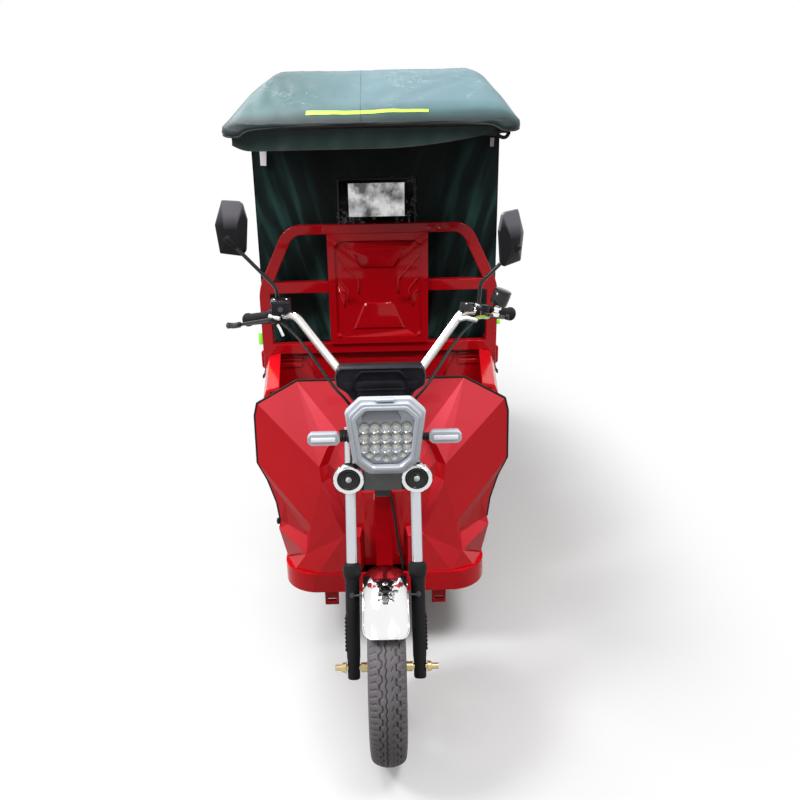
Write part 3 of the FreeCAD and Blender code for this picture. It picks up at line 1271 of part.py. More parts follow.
def stamped(points):
    # Raised field with sloping sides on the panel's floor, and its outline's other half
    outline = [V(x, floor_y, z) for x, z in points]
    outline += [V(-p.x, p.y, p.z) for p in reversed(outline)]
    middle = sum((p.z for p in outline)) / len(outline)
    tall = max(p.z for p in outline) - middle
    share = 1 - g("stamp_slope") / tall
    face_points = []
    for p in outline:
        face_points.append(V(p.x * share, floor_y - g("stamp_rise"), middle + (p.z - middle) * share))
    low = Part.makePolygon(outline + [outline[0]])
    high = Part.makePolygon(face_points + [face_points[0]])
    return Part.makeLoft([low, high], True, True)


upper = []
upper.append((bk * 0.612, panel_high - 56))
upper.append((bk * 0.34, panel_high - 128))
lower_field = []
lower_field.append((bk * 0.25, panel_low + 161))
lower_field.append((bk * 0.324, panel_low + 147))
lower_field.append((bk * 0.532, panel_low + 56))
panel = panel.fuse(stamped(upper)).fuse(stamped(lower_field))
ridge_a = [(bk * 0.803, panel_high - 88), (bk * 0.4, panel_high - 175), (bk * 0.4, panel_high - 225)]
ridge_b = [(bk * 0.787, panel_high - 172), (bk * 0.612, panel_high - 213), (bk * 0.612, panel_high - 250)]
ridge_c = [(bk * 0.787, panel_high - 217), (bk * 0.7, panel_high - 238), (bk * 0.7, panel_high - 275)]
for ridge in (ridge_a, ridge_b, ridge_c):
    bead = pipe([V(x, floor_y, z) for x, z in ridge], 10, g("ridge_radius"))
    panel = panel.fuse(bead).fuse(flip(bead))
panel = panel.cut(block(-bk, bk, py + bl, py + bl * 2, panel_low, panel_high)).removeSplitter()
backrest = feature("backrest_panel", panel)

# Hinged tailgate
gd = g("gate_depth")
gg = g("gate_gap")
gate = block(-bh + 8, bh - 8, bb + gg, bb + gg + 4, dz + 14, rtop)
gate = gate.fuse(block(-bh + 8, bh - 8, bb + gg, bb + gg + gd, rtop - 30, rtop))
gate = gate.fuse(block(-bh + 8, bh - 8, bb + gg, bb + gg + gd, dz + 14, dz + 40))
gate_pitch = bh - 155
gate_field = (bh - 125) / 3
for x_at in (-gate_pitch, 0, gate_pitch):
    gate = gate.fuse(block(x_at - gate_field, x_at + gate_field, bb + gg + 4, bb + gg + 10, dz + 70, rtop - 60))
kw = g("knuckle_width")
for x_at in (-g("hinge_x"), g("hinge_x")):
    knuckle = Part.makeCylinder(hr, kw, V(x_at - kw / 2, hinge_y, hinge_z), V(1, 0, 0))
    knuckle = knuckle.fuse(block(x_at - kw / 2, x_at + kw / 2, hinge_y - 3, hinge_y + 3, hinge_z, dz + 20))
    pin_hole = Part.makeCylinder(g("hinge_pin") + g("pin_gap"), kw, V(x_at - kw / 2, hinge_y, hinge_z), V(1, 0, 0))
    gate = gate.fuse(knuckle).cut(pin_hole)
gate = gate.removeSplitter()
tailgate = feature("tailgate", gate)

# Tail lamps on the rear cross bar
tail = box("tail_lamp_a", "Dim.tail_half*2", "Dim.tail_depth", "Dim.tail_tall", "Dim.tail_x-Dim.tail_half", "Dim.box_back-Dim.cross_depth+20", "Dim.tail_z-Dim.tail_tall/2")
tails = grouped("tail_lamps", [tail, mirrored(tail, "tail_lamp_b")])

# Canopy poles and rings
pr = g("pole_radius")
px = g("pole_x")
pf = g("pole_front")
pb = g("pole_back")
ez = g("eave_z")
cz = g("crest_z")
ch = g("crest_half")
cf = g("crest_front")
cb = g("crest_back")
cl = g("cloth")
ring_z = ez - g("ring_drop")
hoop_z = cz - cl - pr - 0.2
hoop_x = ch - 22
hoop_f = cf + 26
hoop_b = cb - 26


def bar_between(a, b):
    return Part.makeCylinder(pr, (b - a).Length, a, b - a)


def hoop(half, front, back, z, bend):
    # Closed ring of bar with round corners, lying flat
    run = [V(0, front, z), V(half, front, z), V(half, back, z), V(0, back, z)]
    side_run = pipe(run, bend, pr)
    return side_run.fuse(flip(side_run))


rail_f = g("eave_front") + 26
rail_b = g("eave_back") - 26
ring_x = g("eave_half") - 26
eave_bend = g("eave_bend")
crest_bend = g("crest_bend")
poles = [hoop(ring_x, rail_f, rail_b, ring_z, eave_bend)]
poles.append(hoop(hoop_x, hoop_f, hoop_b, hoop_z, crest_bend))
for way in (-1, 1):
    poles.append(bar_between(V(way * px, pf, rtop), V(way * px, pf, ring_z)))
    poles.append(bar_between(V(way * px, pb, rtop), V(way * px, pb, ring_z)))
    poles.append(bar_between(V(way * ring_x, pf, ring_z), V(way * hoop_x, hoop_f + crest_bend, hoop_z)))
    poles.append(bar_between(V(way * ring_x, pb, ring_z), V(way * hoop_x, hoop_b - crest_bend, hoop_z)))
for y_at in (pf, pb):
    poles.append(bar_between(V(-ring_x, y_at, ring_z), V(ring_x, y_at, ring_z)))
canopy_frame_shape = poles[0].fuse(poles[1:]).removeSplitter()
canopy_frame = feature("canopy_frame", canopy_frame_shape)


def round_ring(half, front, back, z, radius):
    # Flat outline with four round corners
    k = radius * (1 - math.sqrt(0.5))
    edges = []
    edges.append(Part.LineSegment(V(-half + radius, front, z), V(half - radius, front, z)).toShape())
    edges.append(Part.Arc(V(half - radius, front, z), V(half - k, front + k, z), V(half, front + radius, z)).toShape())
    edges.append(Part.LineSegment(V(half, front + radius, z), V(half, back - radius, z)).toShape())
    edges.append(Part.Arc(V(half, back - radius, z), V(half - k, back - k, z), V(half - radius, back, z)).toShape())
    edges.append(Part.LineSegment(V(half - radius, back, z), V(-half + radius, back, z)).toShape())
    edges.append(Part.Arc(V(-half + radius, back, z), V(-half + k, back - k, z), V(-half, back - radius, z)).toShape())
    edges.append(Part.LineSegment(V(-half, back - radius, z), V(-half, front + radius, z)).toShape())
    edges.append(Part.Arc(V(-half, front + radius, z), V(-half + k, front + k, z), V(-half + radius, front, z)).toShape())
    return Part.Wire(edges)


eh = g("eave_half")
ef = g("eave_front")
eb = g("eave_back")
va = g("valance")


def tent(inset, low, high):
    # Four-sided roof with round corners between the eaves and the crest
    low_ring = round_ring(eh - inset, ef + inset, eb - inset, low, eave_bend - inset)
    high_ring = round_ring(ch - inset, cf + inset, cb - inset, high, crest_bend - inset)
    return Part.makeLoft([low_ring, high_ring], True, True)


def skirt(inset):
    ring = Part.Face(round_ring(eh - inset, ef + inset, eb - inset, ez - va, eave_bend - inset))
    return ring.extrude(V(0, 0, va))


flap_y = ef + cl
flap_half = eh - g("flap_inset")
flap_low = ez - g("flap_drop")
flap_rise = g("flap_rise")
flap = []
flap.append(V(-flap_half, flap_y, ez - va + 8))
flap.append(V(-flap_half, flap_y, flap_low + flap_rise))
flap.append(V(-flap_half + flap_rise * 2, flap_y, flap_low))
flap.append(V(flap_half - flap_rise * 2, flap_y, flap_low))
flap.append(V(flap_half, flap_y, flap_low + flap_rise))
flap.append(V(flap_half, flap_y, ez - va + 8))
roof = tent(0, ez, cz).fuse(skirt(0))
roof = roof.cut(tent(cl, ez, cz - cl)).cut(skirt(cl))
roof = roof.fuse(prism(flap, V(0, cl, 0))).removeSplitter()
canopy_roof = feature("canopy_roof", roof)

# Curtains, with window openings and clear panes
cm = g("curtain_metal")
ck = g("curtain_half")
cw = g("curtain_low")
front_cy = pf - pr - cm
back_cy = pb + pr
cloth_top = ring_z - 2
curtain_f = block(-ck, ck, front_cy, front_cy + cm, cw, cloth_top)
hole_f = block(-g("pane_half"), g("pane_half"), front_cy - 1, front_cy + cm + 1, g("pane_low"), g("pane_high"))
curtain_f = curtain_f.cut(hole_f).cut(canopy_frame_shape)
curtain_b = block(-ck, ck, back_cy, back_cy + cm, cw, cloth_top)
hole_b = block(-g("rear_pane_half"), g("rear_pane_half"), back_cy - 1, back_cy + cm + 1, g("rear_pane_low"), g("rear_pane_high"))
curtain_b = curtain_b.cut(hole_b).cut(canopy_frame_shape)
side_cloth = block(ck, ck + cm, front_cy, back_cy + cm, rtop, cloth_top).cut(canopy_frame_shape)
curtain_front = feature("curtain_front", max(curtain_f.Solids, key=lambda s: s.Volume))
curtain_rear = feature("curtain_rear", max(curtain_b.Solids, key=lambda s: s.Volume))
side_cloth = max(side_cloth.Solids, key=lambda s: s.Volume)
curtain_sides = feature("side_curtains", Part.makeCompound([side_cloth, flip(side_cloth)]))
pm = g("pane_metal")
pane_f = block(-g("pane_half"), g("pane_half"), front_cy + 1, front_cy + 1 + pm, g("pane_low"), g("pane_high"))
pane_b = block(-g("rear_pane_half"), g("rear_pane_half"), back_cy + 1, back_cy + 1 + pm, g("rear_pane_low"), g("rear_pane_high"))
windows = feature("curtain_windows", Part.makeCompound([pane_f, pane_b]))

kept = []
kept += [front_tyre, front_wheel, tyre_left, tyre_right, wheel_left, wheel_right]
kept += [front_axle, lowers, tubes, yokes, bar, holds, shells, panes, dash_box]
kept += [lamp_shell, lamp_lens, horn_set, signals, mudguard, cables]
kept += [chassis, housing, floor_pan, shield, trim, seat_box, battery, seat]
kept += [fairings, deck_floor, pads, wall_front, wall_left, wall_right]
kept += [arch_frame, backrest, tailgate, tails]
kept += [canopy_frame, canopy_roof, curtain_front, curtain_rear, curtain_sides, windows]

doc.recompute()
for item in doc.Objects:
    for word in ("Invalid", "Error"):
        if word in item.State:
            raise ValueError("%s is %s" % (item.Label, item.State))
for item in kept:
    if item.Shape.isNull() or not item.Shape.isValid():
        raise ValueError("%s has a bad shape" % item.Label)
for item in kept:
    item.Shape.exportStep("parts/%s.step" % item.Label)
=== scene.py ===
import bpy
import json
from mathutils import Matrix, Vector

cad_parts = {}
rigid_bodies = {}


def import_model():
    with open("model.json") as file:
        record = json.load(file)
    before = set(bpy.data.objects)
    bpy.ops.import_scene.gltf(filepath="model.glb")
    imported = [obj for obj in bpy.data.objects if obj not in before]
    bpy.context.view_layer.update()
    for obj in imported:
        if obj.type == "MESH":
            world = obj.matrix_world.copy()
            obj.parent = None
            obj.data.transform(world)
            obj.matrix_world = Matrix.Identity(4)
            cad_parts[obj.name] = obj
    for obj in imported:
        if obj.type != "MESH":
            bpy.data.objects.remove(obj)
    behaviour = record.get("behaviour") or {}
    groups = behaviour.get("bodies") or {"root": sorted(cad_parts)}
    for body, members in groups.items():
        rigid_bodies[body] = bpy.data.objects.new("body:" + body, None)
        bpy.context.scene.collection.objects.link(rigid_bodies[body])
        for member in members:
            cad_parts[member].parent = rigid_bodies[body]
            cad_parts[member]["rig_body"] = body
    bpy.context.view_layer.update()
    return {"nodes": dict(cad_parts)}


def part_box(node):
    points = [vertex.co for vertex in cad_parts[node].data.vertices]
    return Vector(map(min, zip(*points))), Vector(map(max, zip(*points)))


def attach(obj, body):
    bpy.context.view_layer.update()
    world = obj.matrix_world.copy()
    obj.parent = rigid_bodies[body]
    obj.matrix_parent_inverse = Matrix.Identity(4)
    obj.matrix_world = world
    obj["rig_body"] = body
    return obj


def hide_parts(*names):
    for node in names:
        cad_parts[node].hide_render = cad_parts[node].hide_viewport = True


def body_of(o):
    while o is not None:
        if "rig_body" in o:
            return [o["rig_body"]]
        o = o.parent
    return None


bl_info = {
    "name": "Canopy rickshaw",
    "version": (1, 0, 0),
    "blender": (4, 5, 0),
    "location": "3D View > Sidebar > Rickshaw",
    "description": "Dresses the packed rickshaw with paint, rubber, chrome, canvas and lamps",
    "category": "Object",
}

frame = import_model()

import json
import math

import bmesh
import bpy
from mathutils import Matrix, Vector, noise

RAKE = math.radians(25)
WHEEL_R = 0.25
STEER = "steering"
ROOT = "chassis"


def leaning(x, back, up):
    """World point of a point in the fork's leaning frame."""
    y = back * math.cos(RAKE) + up * math.sin(RAKE)
    z = WHEEL_R - back * math.sin(RAKE) + up * math.cos(RAKE)
    return Vector((x, y, z))


# Materials


def start_material(name):
    mat = bpy.data.materials.new(name)
    mat.use_nodes = True
    tree = mat.node_tree
    return mat, tree, tree.nodes["Principled BSDF"]


def add_node(tree, kind, **values):
    node = tree.nodes.new("ShaderNode" + kind)
    for key, value in values.items():
        setattr(node, key, value)
    return node


def set_inputs(node, **values):
    """Sets inputs by their names, with underscores for the spaces."""
    for key, value in values.items():
        node.inputs[key.replace("_", " ")].default_value = value


def link(tree, source, node, slot):
    tree.links.new(source, node.inputs[slot])


def object_coords(tree):
    return add_node(tree, "TexCoord").outputs["Object"]


def texture(tree, kind, coords=None, **values):
    """Texture node on the object's own coordinates, unless others are given."""
    node = add_node(tree, "Tex" + kind)
    set_inputs(node, **values)
    link(tree, coords or object_coords(tree), node, "Vector")
    return node


def clouds(tree, scale, detail=4.0, rough=0.5, coords=None):
    """Value of a noise."""
    return texture(tree, "Noise", coords, Scale=scale, Detail=detail, Roughness=rough).outputs["Fac"]


def split(tree, vector):
    """X, Y and Z of a vector."""
    node = add_node(tree, "SeparateXYZ")
    link(tree, vector, node, "Vector")
    return node.outputs


def ramp(tree, source, low, high):
    """Colour between two stops, each a place and a colour."""
    node = add_node(tree, "ValToRGB")
    for element, (place, colour) in zip(node.color_ramp.elements, (low, high)):
        element.position = place
        element.color = colour
    link(tree, source, node, "Fac")
    return node.outputs["Color"]


def calc(tree, operation, a, b=0.5, clamp=False):
    """Value of one sum on two numbers or sockets."""
    node = add_node(tree, "Math", operation=operation, use_clamp=clamp)
    for socket, value in zip(node.inputs, (a, b)):
        if isinstance(value, (int, float)):
            socket.default_value = value
        else:
            tree.links.new(value, socket)
    return node.outputs["Value"]


def ramp_up(tree, value, low, high):
    """Rises from 0 at low to 1 at high; falls if high is the smaller."""
    return calc(tree, "MULTIPLY", calc(tree, "SUBTRACT", value, low), 1.0 / (high - low), True)


def creases(tree, coords, scale, width, gather):
    """Fine bright lines where a noise crosses its middle, gathered in patches."""
    near = calc(tree, "ABSOLUTE", calc(tree, "SUBTRACT", clouds(tree, scale, 4.0, 0.6, coords), 0.5))
    thin = ramp_up(tree, near, width, width * 0.25)
    patch = clouds(tree, 6.0, 2.0, 0.5, coords)
    return calc(tree, "MULTIPLY", thin, ramp_up(tree, patch, gather, gather + 0.08))


def blend_colour(tree, share, low, high):
    """Mixes a socket or colour towards a second one."""
    mix = add_node(tree, "Mix", data_type="RGBA")
    link(tree, share, mix, "Factor")
    for socket, value in ((mix.inputs[6], low), (mix.inputs[7], high)):
        if isinstance(value, tuple):
            socket.default_value = (*value[:3], 1.0)
        else:
            tree.links.new(value, socket)
    return mix.outputs[2]


def seen_rays(tree):
    """1 for rays from the eye, straight or by way of gloss or glass."""
    path = add_node(tree, "LightPath").outputs
    seen = path["Is Camera Ray"]
    for ray in ("Is Glossy Ray", "Is Transmission Ray"):
        seen = calc(tree, "ADD", seen, path[ray], True)
    return seen


def mix_shaders(tree, share, first, second, output):
    mix = add_node(tree, "MixShader")
    link(tree, share, mix, "Fac")
    tree.links.new(first, mix.inputs[1])
    tree.links.new(second, mix.inputs[2])
    link(tree, mix.outputs["Shader"], tree.nodes[output], "Surface")


def grey(v):
    return (v, v, v, 1.0)


def tint(colour, factor):
    return (colour[0] * factor, colour[1] * factor, colour[2] * factor, 1.0)


def shaded(tree, shader, source, low, high):
    """Base colour between two stops."""
    link(tree, ramp(tree, source, low, high), shader, "Base Color")


def glossed(tree, shader, source, low, high):
    """Roughness between two stops, each a place and a value."""
    stops = [(place, grey(value)) for place, value in (low, high)]
    link(tree, ramp(tree, source, *stops), shader, "Roughness")


def bump_from(tree, shader, height, strength, distance, before=None):
    node = add_node(tree, "Bump")
    set_inputs(node, Strength=strength, Distance=distance)
    link(tree, height, node, "Height")
    if before:
        link(tree, before.outputs["Normal"], node, "Normal")
    link(tree, node.outputs["Normal"], shader, "Normal")
    return node


def painted(name, colour, rough=0.22, coat=1.0, peel=0.04, dust=0.12):
    """Sprayed paint: orange peel in the coat and faintly cloudy colour."""
    mat, tree, shader = start_material(name)
    shaded(tree, shader, clouds(tree, 3.0, 5.0), (0.3, tint(colour, 1 - dust)), (0.7, tint(colour, 1 + dust)))
    glossed(tree, shader, clouds(tree, 22.0, 6.0), (0.35, rough * 0.7), (0.75, rough * 1.5))
    bump_from(tree, shader, clouds(tree, 420.0, 2.0), peel, 0.001)
    set_inputs(shader, Coat_Weight=coat, Coat_Roughness=0.04)
    return mat


def metal(name, colour, rough=0.08, scratch=0.03, grain=12.0, edge=0.55):
    """Bare or plated metal with fine wear in its gloss."""
    mat, tree, shader = start_material(name)
    cloud = clouds(tree, grain, 6.0)
    shaded(tree, shader, cloud, (0.3, tint(colour, 0.93)), (0.75, tint(colour, 1.0)))
    glossed(tree, shader, cloud, (0.25, rough * 0.8), (0.8, rough * 1.4))
    set_inputs(shader, Metallic=1.0, Specular_Tint=(edge, edge, edge * 1.04, 1.0))
    if scratch:
        bump_from(tree, shader, clouds(tree, 900.0, 3.0), scratch, 0.0006)
    return mat


def plastic(name, colour, rough=0.45, grain=700.0, strength=0.25):
    """Moulded plastic or rubber with a fine grain."""
    mat, tree, shader = start_material(name)
    cloud = clouds(tree, 14.0, 5.0)
    shaded(tree, shader, cloud, (0.3, tint(colour, 0.8)), (0.75, tint(colour, 1.25)))
    glossed(tree, shader, cloud, (0.3, rough * 0.85), (0.8, min(1.0, rough * 1.25)))
    bump_from(tree, shader, texture(tree, "Voronoi", Scale=grain).outputs["Distance"], strength, 0.0005)
    set_inputs(shader, Coat_Weight=0.0, Specular_IOR_Level=0.14)
    return mat


def base_of(mat):
    """Node tree, shader and present base colour of a material."""
    tree = mat.node_tree
    shader = tree.nodes["Principled BSDF"]
    return tree, shader, shader.inputs["Base Color"].links[0].from_socket


def painted_upward_sheen(mat, colour, low=0.04, high=0.17, foot=None, head=None):
    """Painted sky reflection: a paler colour blended on the faces that look up, if asked only above a height.
    """
    tree, shader, base = base_of(mat)
    up = ramp_up(tree, split(tree, add_node(tree, "NewGeometry").outputs["Normal"])["Z"], low, high)
    if head is not None:
        up = calc(tree, "MULTIPLY", up, ramp_up(tree, split(tree, object_coords(tree))["Z"], foot, head))
    link(tree, blend_colour(tree, up, base, colour), shader, "Base Color")
    return mat


def canvas(name, colour, sheen=0.35):
    """Coated tarpaulin cloth: plain weave, patchy tone, soft sheen."""
    mat, tree, shader = start_material(name)
    coords = object_coords(tree)
    cloud = clouds(tree, 5.0, 8.0, 0.6, coords)
    shaded(tree, shader, cloud, (0.3, tint(colour, 0.75)), (0.72, tint(colour, 1.35)))
    glossed(tree, shader, cloud, (0.3, 0.42), (0.75, 0.62))
    height = None
    for axis in ("X", "Y", "Z"):
        wave = texture(tree, "Wave", coords, Scale=260.0, Distortion=0.4)
        wave.bands_direction = axis
        threads = wave.outputs["Fac"]
        height = threads if height is None else calc(tree, "ADD", height, threads)
    weave = bump_from(tree, shader, height, 0.12, 0.0006)
    bump_from(tree, shader, clouds(tree, 26.0, 7.0, 0.62, coords), 0.22, 0.004, before=weave)
    set_inputs(shader, Sheen_Weight=sheen, Sheen_Roughness=0.4, Specular_IOR_Level=0.22)
    return mat


def roof_cloth(name, colour, dusty):
    """Canvas with a pale film over the middle and right that is painted sky sheen with some dust, painted
    shade along the rolled front edge, and whitish crease marks on top.
    """
    mat = canvas(name, colour, 0.06)
    tree, shader, base = base_of(mat)
    coords = object_coords(tree)
    place = split(tree, coords)
    # Pale film towards the right and behind the front edge: painted sky sheen with some dust.
    drift = calc(tree, "MULTIPLY", clouds(tree, 4.0, 3.0, 0.5, coords), 0.22)
    across = ramp_up(tree, calc(tree, "ADD", place["X"], drift), -0.16, 0.10)
    along = ramp_up(tree, place["Y"], 0.93, 1.0)
    film = calc(tree, "MULTIPLY", calc(tree, "MULTIPLY", across, along), 0.85)
    # Painted shade: the front edge is darkened where the cloth turns down.
    lip_shade = ramp_up(tree, place["Y"], 0.955, 0.895)
    sheened = blend_colour(tree, lip_shade, blend_colour(tree, film, base, dusty), tint(colour, 0.16))
    fine = creases(tree, coords, 13.0, 0.010, 0.55)
    marks = calc(tree, "MULTIPLY", fine, calc(tree, "MULTIPLY", along, 0.30))
    link(tree, blend_colour(tree, marks, sheened, (0.52, 0.56, 0.52)), shader, "Base Color")
    return mat


def curtain_cloth(name, colour):
    """Canvas with painted shade: near black in the fold below the roof's middle and along the top, with
    painted highlights on the fold ridges and painted shade in the hollows.
    """
    mat = canvas(name, colour, 0.03)
    tree, shader, base = base_of(mat)
    place = split(tree, object_coords(tree))
    x, z = place["X"], place["Z"]
    # Painted shadow: a V below the roof's middle and a band along the top turn to near black.
    off = calc(tree, "ABSOLUTE", calc(tree, "ADD", x, 0.01))
    reach = calc(tree, "ADD", calc(tree, "MULTIPLY", calc(tree, "SUBTRACT", z, 1.25), 0.42), 0.22)
    inner = ramp_up(tree, calc(tree, "SUBTRACT", reach, off), -0.05, 0.09)
    above = ramp_up(tree, z, 1.10, 1.26)
    shade_mask = calc(tree, "MAXIMUM", calc(tree, "MULTIPLY", inner, above), ramp_up(tree, z, 1.50, 1.56))
    # Slanted bands along the folds: painted highlight on the ridges, painted shade in the hollows.
    lean = calc(tree, "MULTIPLY", calc(tree, "SIGN", x), calc(tree, "MULTIPLY", z, -0.28))
    slant = add_node(tree, "CombineXYZ")
    link(tree, calc(tree, "ADD", x, lean), slant, "X")
    link(tree, calc(tree, "MULTIPLY", z, 0.16), slant, "Z")
    ridge = clouds(tree, 17.0, 2.0, 0.4, slant.outputs["Vector"])
    ridge_highlight = blend_colour(tree, ramp_up(tree, ridge, 0.50, 0.66), base, tint(colour, 6.0))
    hollow_shade = blend_colour(tree, ramp_up(tree, ridge, 0.46, 0.34), ridge_highlight, tint(colour, 0.25))
    shown = blend_colour(tree, calc(tree, "MULTIPLY", shade_mask, 0.86), hollow_shade, (0.0015, 0.0025, 0.0025))
    link(tree, shown, shader, "Base Color")
    set_inputs(shader, Specular_IOR_Level=0.09)
    return mat


def vinyl(name, dark, pale, clear, milky, scale, gather):
    """Clear window vinyl: cloudy tint that thickens in patches, and fine creases."""
    mat, tree, shader = start_material(name)
    coords = object_coords(tree)
    cloud = clouds(tree, scale, 5.0, 0.6, coords)
    share = ramp(tree, cloud, (0.42, grey(0.0)), (0.62, grey(1.0)))
    # Pale crease lines: painted highlight on the creases, which are also made less clear.
    marks = creases(tree, coords, 24.0, 0.010, gather)
    shown = blend_colour(tree, marks, blend_colour(tree, share, dark, pale), (0.6, 0.62, 0.62))
    link(tree, shown, shader, "Base Color")
    veil = ramp(tree, cloud, (0.42, grey(clear)), (0.62, grey(milky)))
    link(tree, calc(tree, "MAXIMUM", veil, calc(tree, "MULTIPLY", marks, 0.6)), shader, "Alpha")
    glossed(tree, shader, cloud, (0.3, 0.08), (0.8, 0.3))
    set_inputs(shader, Specular_IOR_Level=0.25)
    bump_from(tree, shader, cloud, 0.5, 0.004)
    return mat


def clear_glass(name, colour, alpha, rough=0.05):
    """Thin clear plastic: mostly see-through, with a glossy skin."""
    mat, tree, shader = start_material(name)
    cloud = clouds(tree, 30.0, 4.0)
    shaded(tree, shader, cloud, (0.3, tint(colour, 0.9)), (0.7, tint(colour, 1.0)))
    glossed(tree, shader, cloud, (0.3, rough * 0.5), (0.8, rough * 1.6))
    set_inputs(shader, Alpha=alpha)
    return mat


def glowing(name, colour, strength):
    """Surface with a faint painted glow: emission keeps its colour bright in shade, though it is no lamp."""
    mat, tree, shader = start_material(name)
    cells = texture(tree, "Voronoi", Scale=500.0).outputs["Distance"]
    shaded(tree, shader, cells, (0.1, tint(colour, 0.85)), (0.7, tint(colour, 1.05)))
    set_inputs(shader, Roughness=0.45, Emission_Color=(*colour, 1.0), Emission_Strength=strength)
    return mat


M = {}


def make_materials(look):
    red = tuple(look.paint_colour)
    green = tuple(look.canvas_colour)
    M["red"] = painted("red_paint", red, 0.2, 0.25, 0.015, 0.06)
    # Painted shade: a darker copy of the red paint for the panels under the canopy.
    M["shaded_red"] = painted("canopy_shade_paint", tint(red, look.canopy_shade_share), 0.16, 0.5, 0.015, 0.06)
    # Painted reflection: the shield's up-facing facets above a height are blended towards a paler pink.
    shield = painted("shield_paint", red, 0.18, 0.42, 0.015, 0.06)
    M["shield"] = painted_upward_sheen(shield, tuple(look.shield_sheen_colour), 0.14, 0.46, look.sheen_foot, look.sheen_head)
    M["black_paint"] = painted("black_enamel", (0.011, 0.010, 0.012), 0.34, 0.1)
    M["chrome"] = metal("bright_chrome", (0.97, 0.97, 0.97), 0.05, 0.0, 5.0, 0.3)
    M["tube"] = metal("fork_chrome", (0.66, 0.68, 0.72), 0.22, 0.0, 5.0, 0.22)
    M["bar"] = metal("bar_chrome", (0.76, 0.73, 0.70), 0.17, 0.0, 5.0, 0.3)
    M["zinc"] = metal("yellow_zinc", (0.62, 0.5, 0.26), 0.3, 0.08)
    M["cast"] = metal("cast_wheel", (0.5, 0.51, 0.52), 0.35, 0.1)
    M["rubber"] = plastic("moulded_rubber", (0.010, 0.010, 0.011), 0.55, 500.0, 0.15)
    M["tyre"] = plastic("tyre_rubber", (0.13, 0.12, 0.127), 0.62, 260.0, 0.3)
    M["black"] = plastic("black_plastic", (0.012, 0.012, 0.016), 0.34, 620.0, 0.12)
    M["gloss_black"] = plastic("smooth_black_plastic", (0.007, 0.007, 0.009), 0.14, 200.0, 0.02)
    shell = plastic("mirror_plastic", (0.007, 0.007, 0.009), 0.16, 200.0, 0.02)
    # Painted reflection: the mirror housing's up-facing facets are blended towards a pale grey.
    M["shell"] = painted_upward_sheen(shell, (0.11, 0.105, 0.12), 0.06, 0.20)
    M["silver"] = metal("silver_bezel", (0.8, 0.81, 0.82), 0.2, 0.02)
    M["white"] = plastic("white_plastic", (0.75, 0.76, 0.76), 0.4)
    M["brass"] = metal("brass", (0.75, 0.55, 0.22), 0.2)
    M["lever"] = metal("lever_alloy", (0.085, 0.086, 0.092), 0.3, 0.05)
    # Painted glow: the neon tags emit a little light.
    M["neon"] = glowing("neon_tag", (0.25, 0.9, 0.05), 0.3)
    M["reflector"] = metal("lamp_reflector", (0.56, 0.58, 0.60), 0.12, 0.02)
    M["led"] = clear_glass("led_dome", (0.95, 0.95, 0.9), 0.3, 0.03)
    # Painted glow: the lamp chips emit a little light.
    M["chip"] = glowing("led_chip", (0.95, 0.82, 0.35), 0.3)
    M["lens"] = clear_glass("lamp_lens", (0.85, 0.88, 0.92), 0.07, 0.03)
    M["pane"] = vinyl("front_vinyl", (0.004, 0.005, 0.005), (0.010, 0.012, 0.012), 0.10, 0.34, 9.0, 0.47)
    # The rear pane's milky patches are the vinyl's own; their green is a painted view of greenery beyond the
    # window.
    M["rear_pane"] = vinyl("rear_vinyl_painted_view", (0.34, 0.44, 0.22), (0.055, 0.09, 0.025), 0.22, 0.90, 8.0, 0.57)
    M["mirror"] = metal("mirror_glass", (0.86, 0.88, 0.9), 0.02, 0.0)
    M["canvas"] = canvas("green_canvas", green, 0.03)
    # Painted shade: the front curtain under the roof takes the cloth colour at half brightness.
    M["curtain"] = curtain_cloth("curtain_canvas", tint(green, 0.5))
    M["piping"] = canvas("dark_piping", (0.022, 0.024, 0.020), 0.05)
    # Painted glow: the roof's marker tape emits a little light.
    M["tape"] = glowing("marker_tape", (0.34, 0.80, 0.05), 0.12)
    M["tag"] = canvas("white_tag", (0.75, 0.75, 0.75), 0.1)
    M["seat"] = plastic("seat_vinyl", (0.03, 0.03, 0.032), 0.5, 380.0, 0.5)
    M["red_lens"] = painted("tail_lens", (0.42, 0.008, 0.008), 0.3, 0.2)
    M["amber"] = painted("amber_lens", (0.7, 0.25, 0.02), 0.1, 1.0)
    M["wire"] = plastic("cable_sheath", (0.010, 0.010, 0.011), 0.36, 300.0, 0.1)
    M["battery"] = plastic("battery_case", (0.05, 0.05, 0.055), 0.5)
    M["bezel"] = painted("bezel_silver", (0.42, 0.45, 0.5), 0.2, 0.8, 0.01, 0.05)
    M["lamp_ground"] = metal("lamp_ground", (0.26, 0.28, 0.31), 0.28, 0.02)
    # Painted glow: the lamp's marker strip emits a little light.
    M["strip"] = glowing("marker_strip", (0.22, 0.24, 0.26), 0.05)
    # Painted glow: the signal bars emit a little light.
    M["white_bar"] = glowing("signal_bar", (0.8, 0.82, 0.85), 0.2)
    M["plate"] = painted("horn_plate", (0.06, 0.06, 0.062), 0.4, 0.3)
    # The roof carries painted sky sheen and painted shade along its front edge.
    M["roof"] = roof_cloth("roof_canvas", tuple(look.roof_colour), tuple(look.dust_and_sheen_colour))
    for key in ("red", "shaded_red", "shield"):
        set_inputs(M[key].node_tree.nodes["Principled BSDF"], Specular_IOR_Level=0.07, Coat_IOR=1.35)
    for key, level in (("black_paint", 0.26), ("gloss_black", 0.42)):
        set_inputs(M[key].node_tree.nodes["Principled BSDF"], Specular_IOR_Level=level)


# Mesh tools


def add_object(name, data):
    obj = bpy.data.objects.new(name, data)
    bpy.context.scene.collection.objects.link(obj)
    return obj


def coat(obj, mat):
    obj.data.materials.clear()
    obj.data.materials.append(mat)


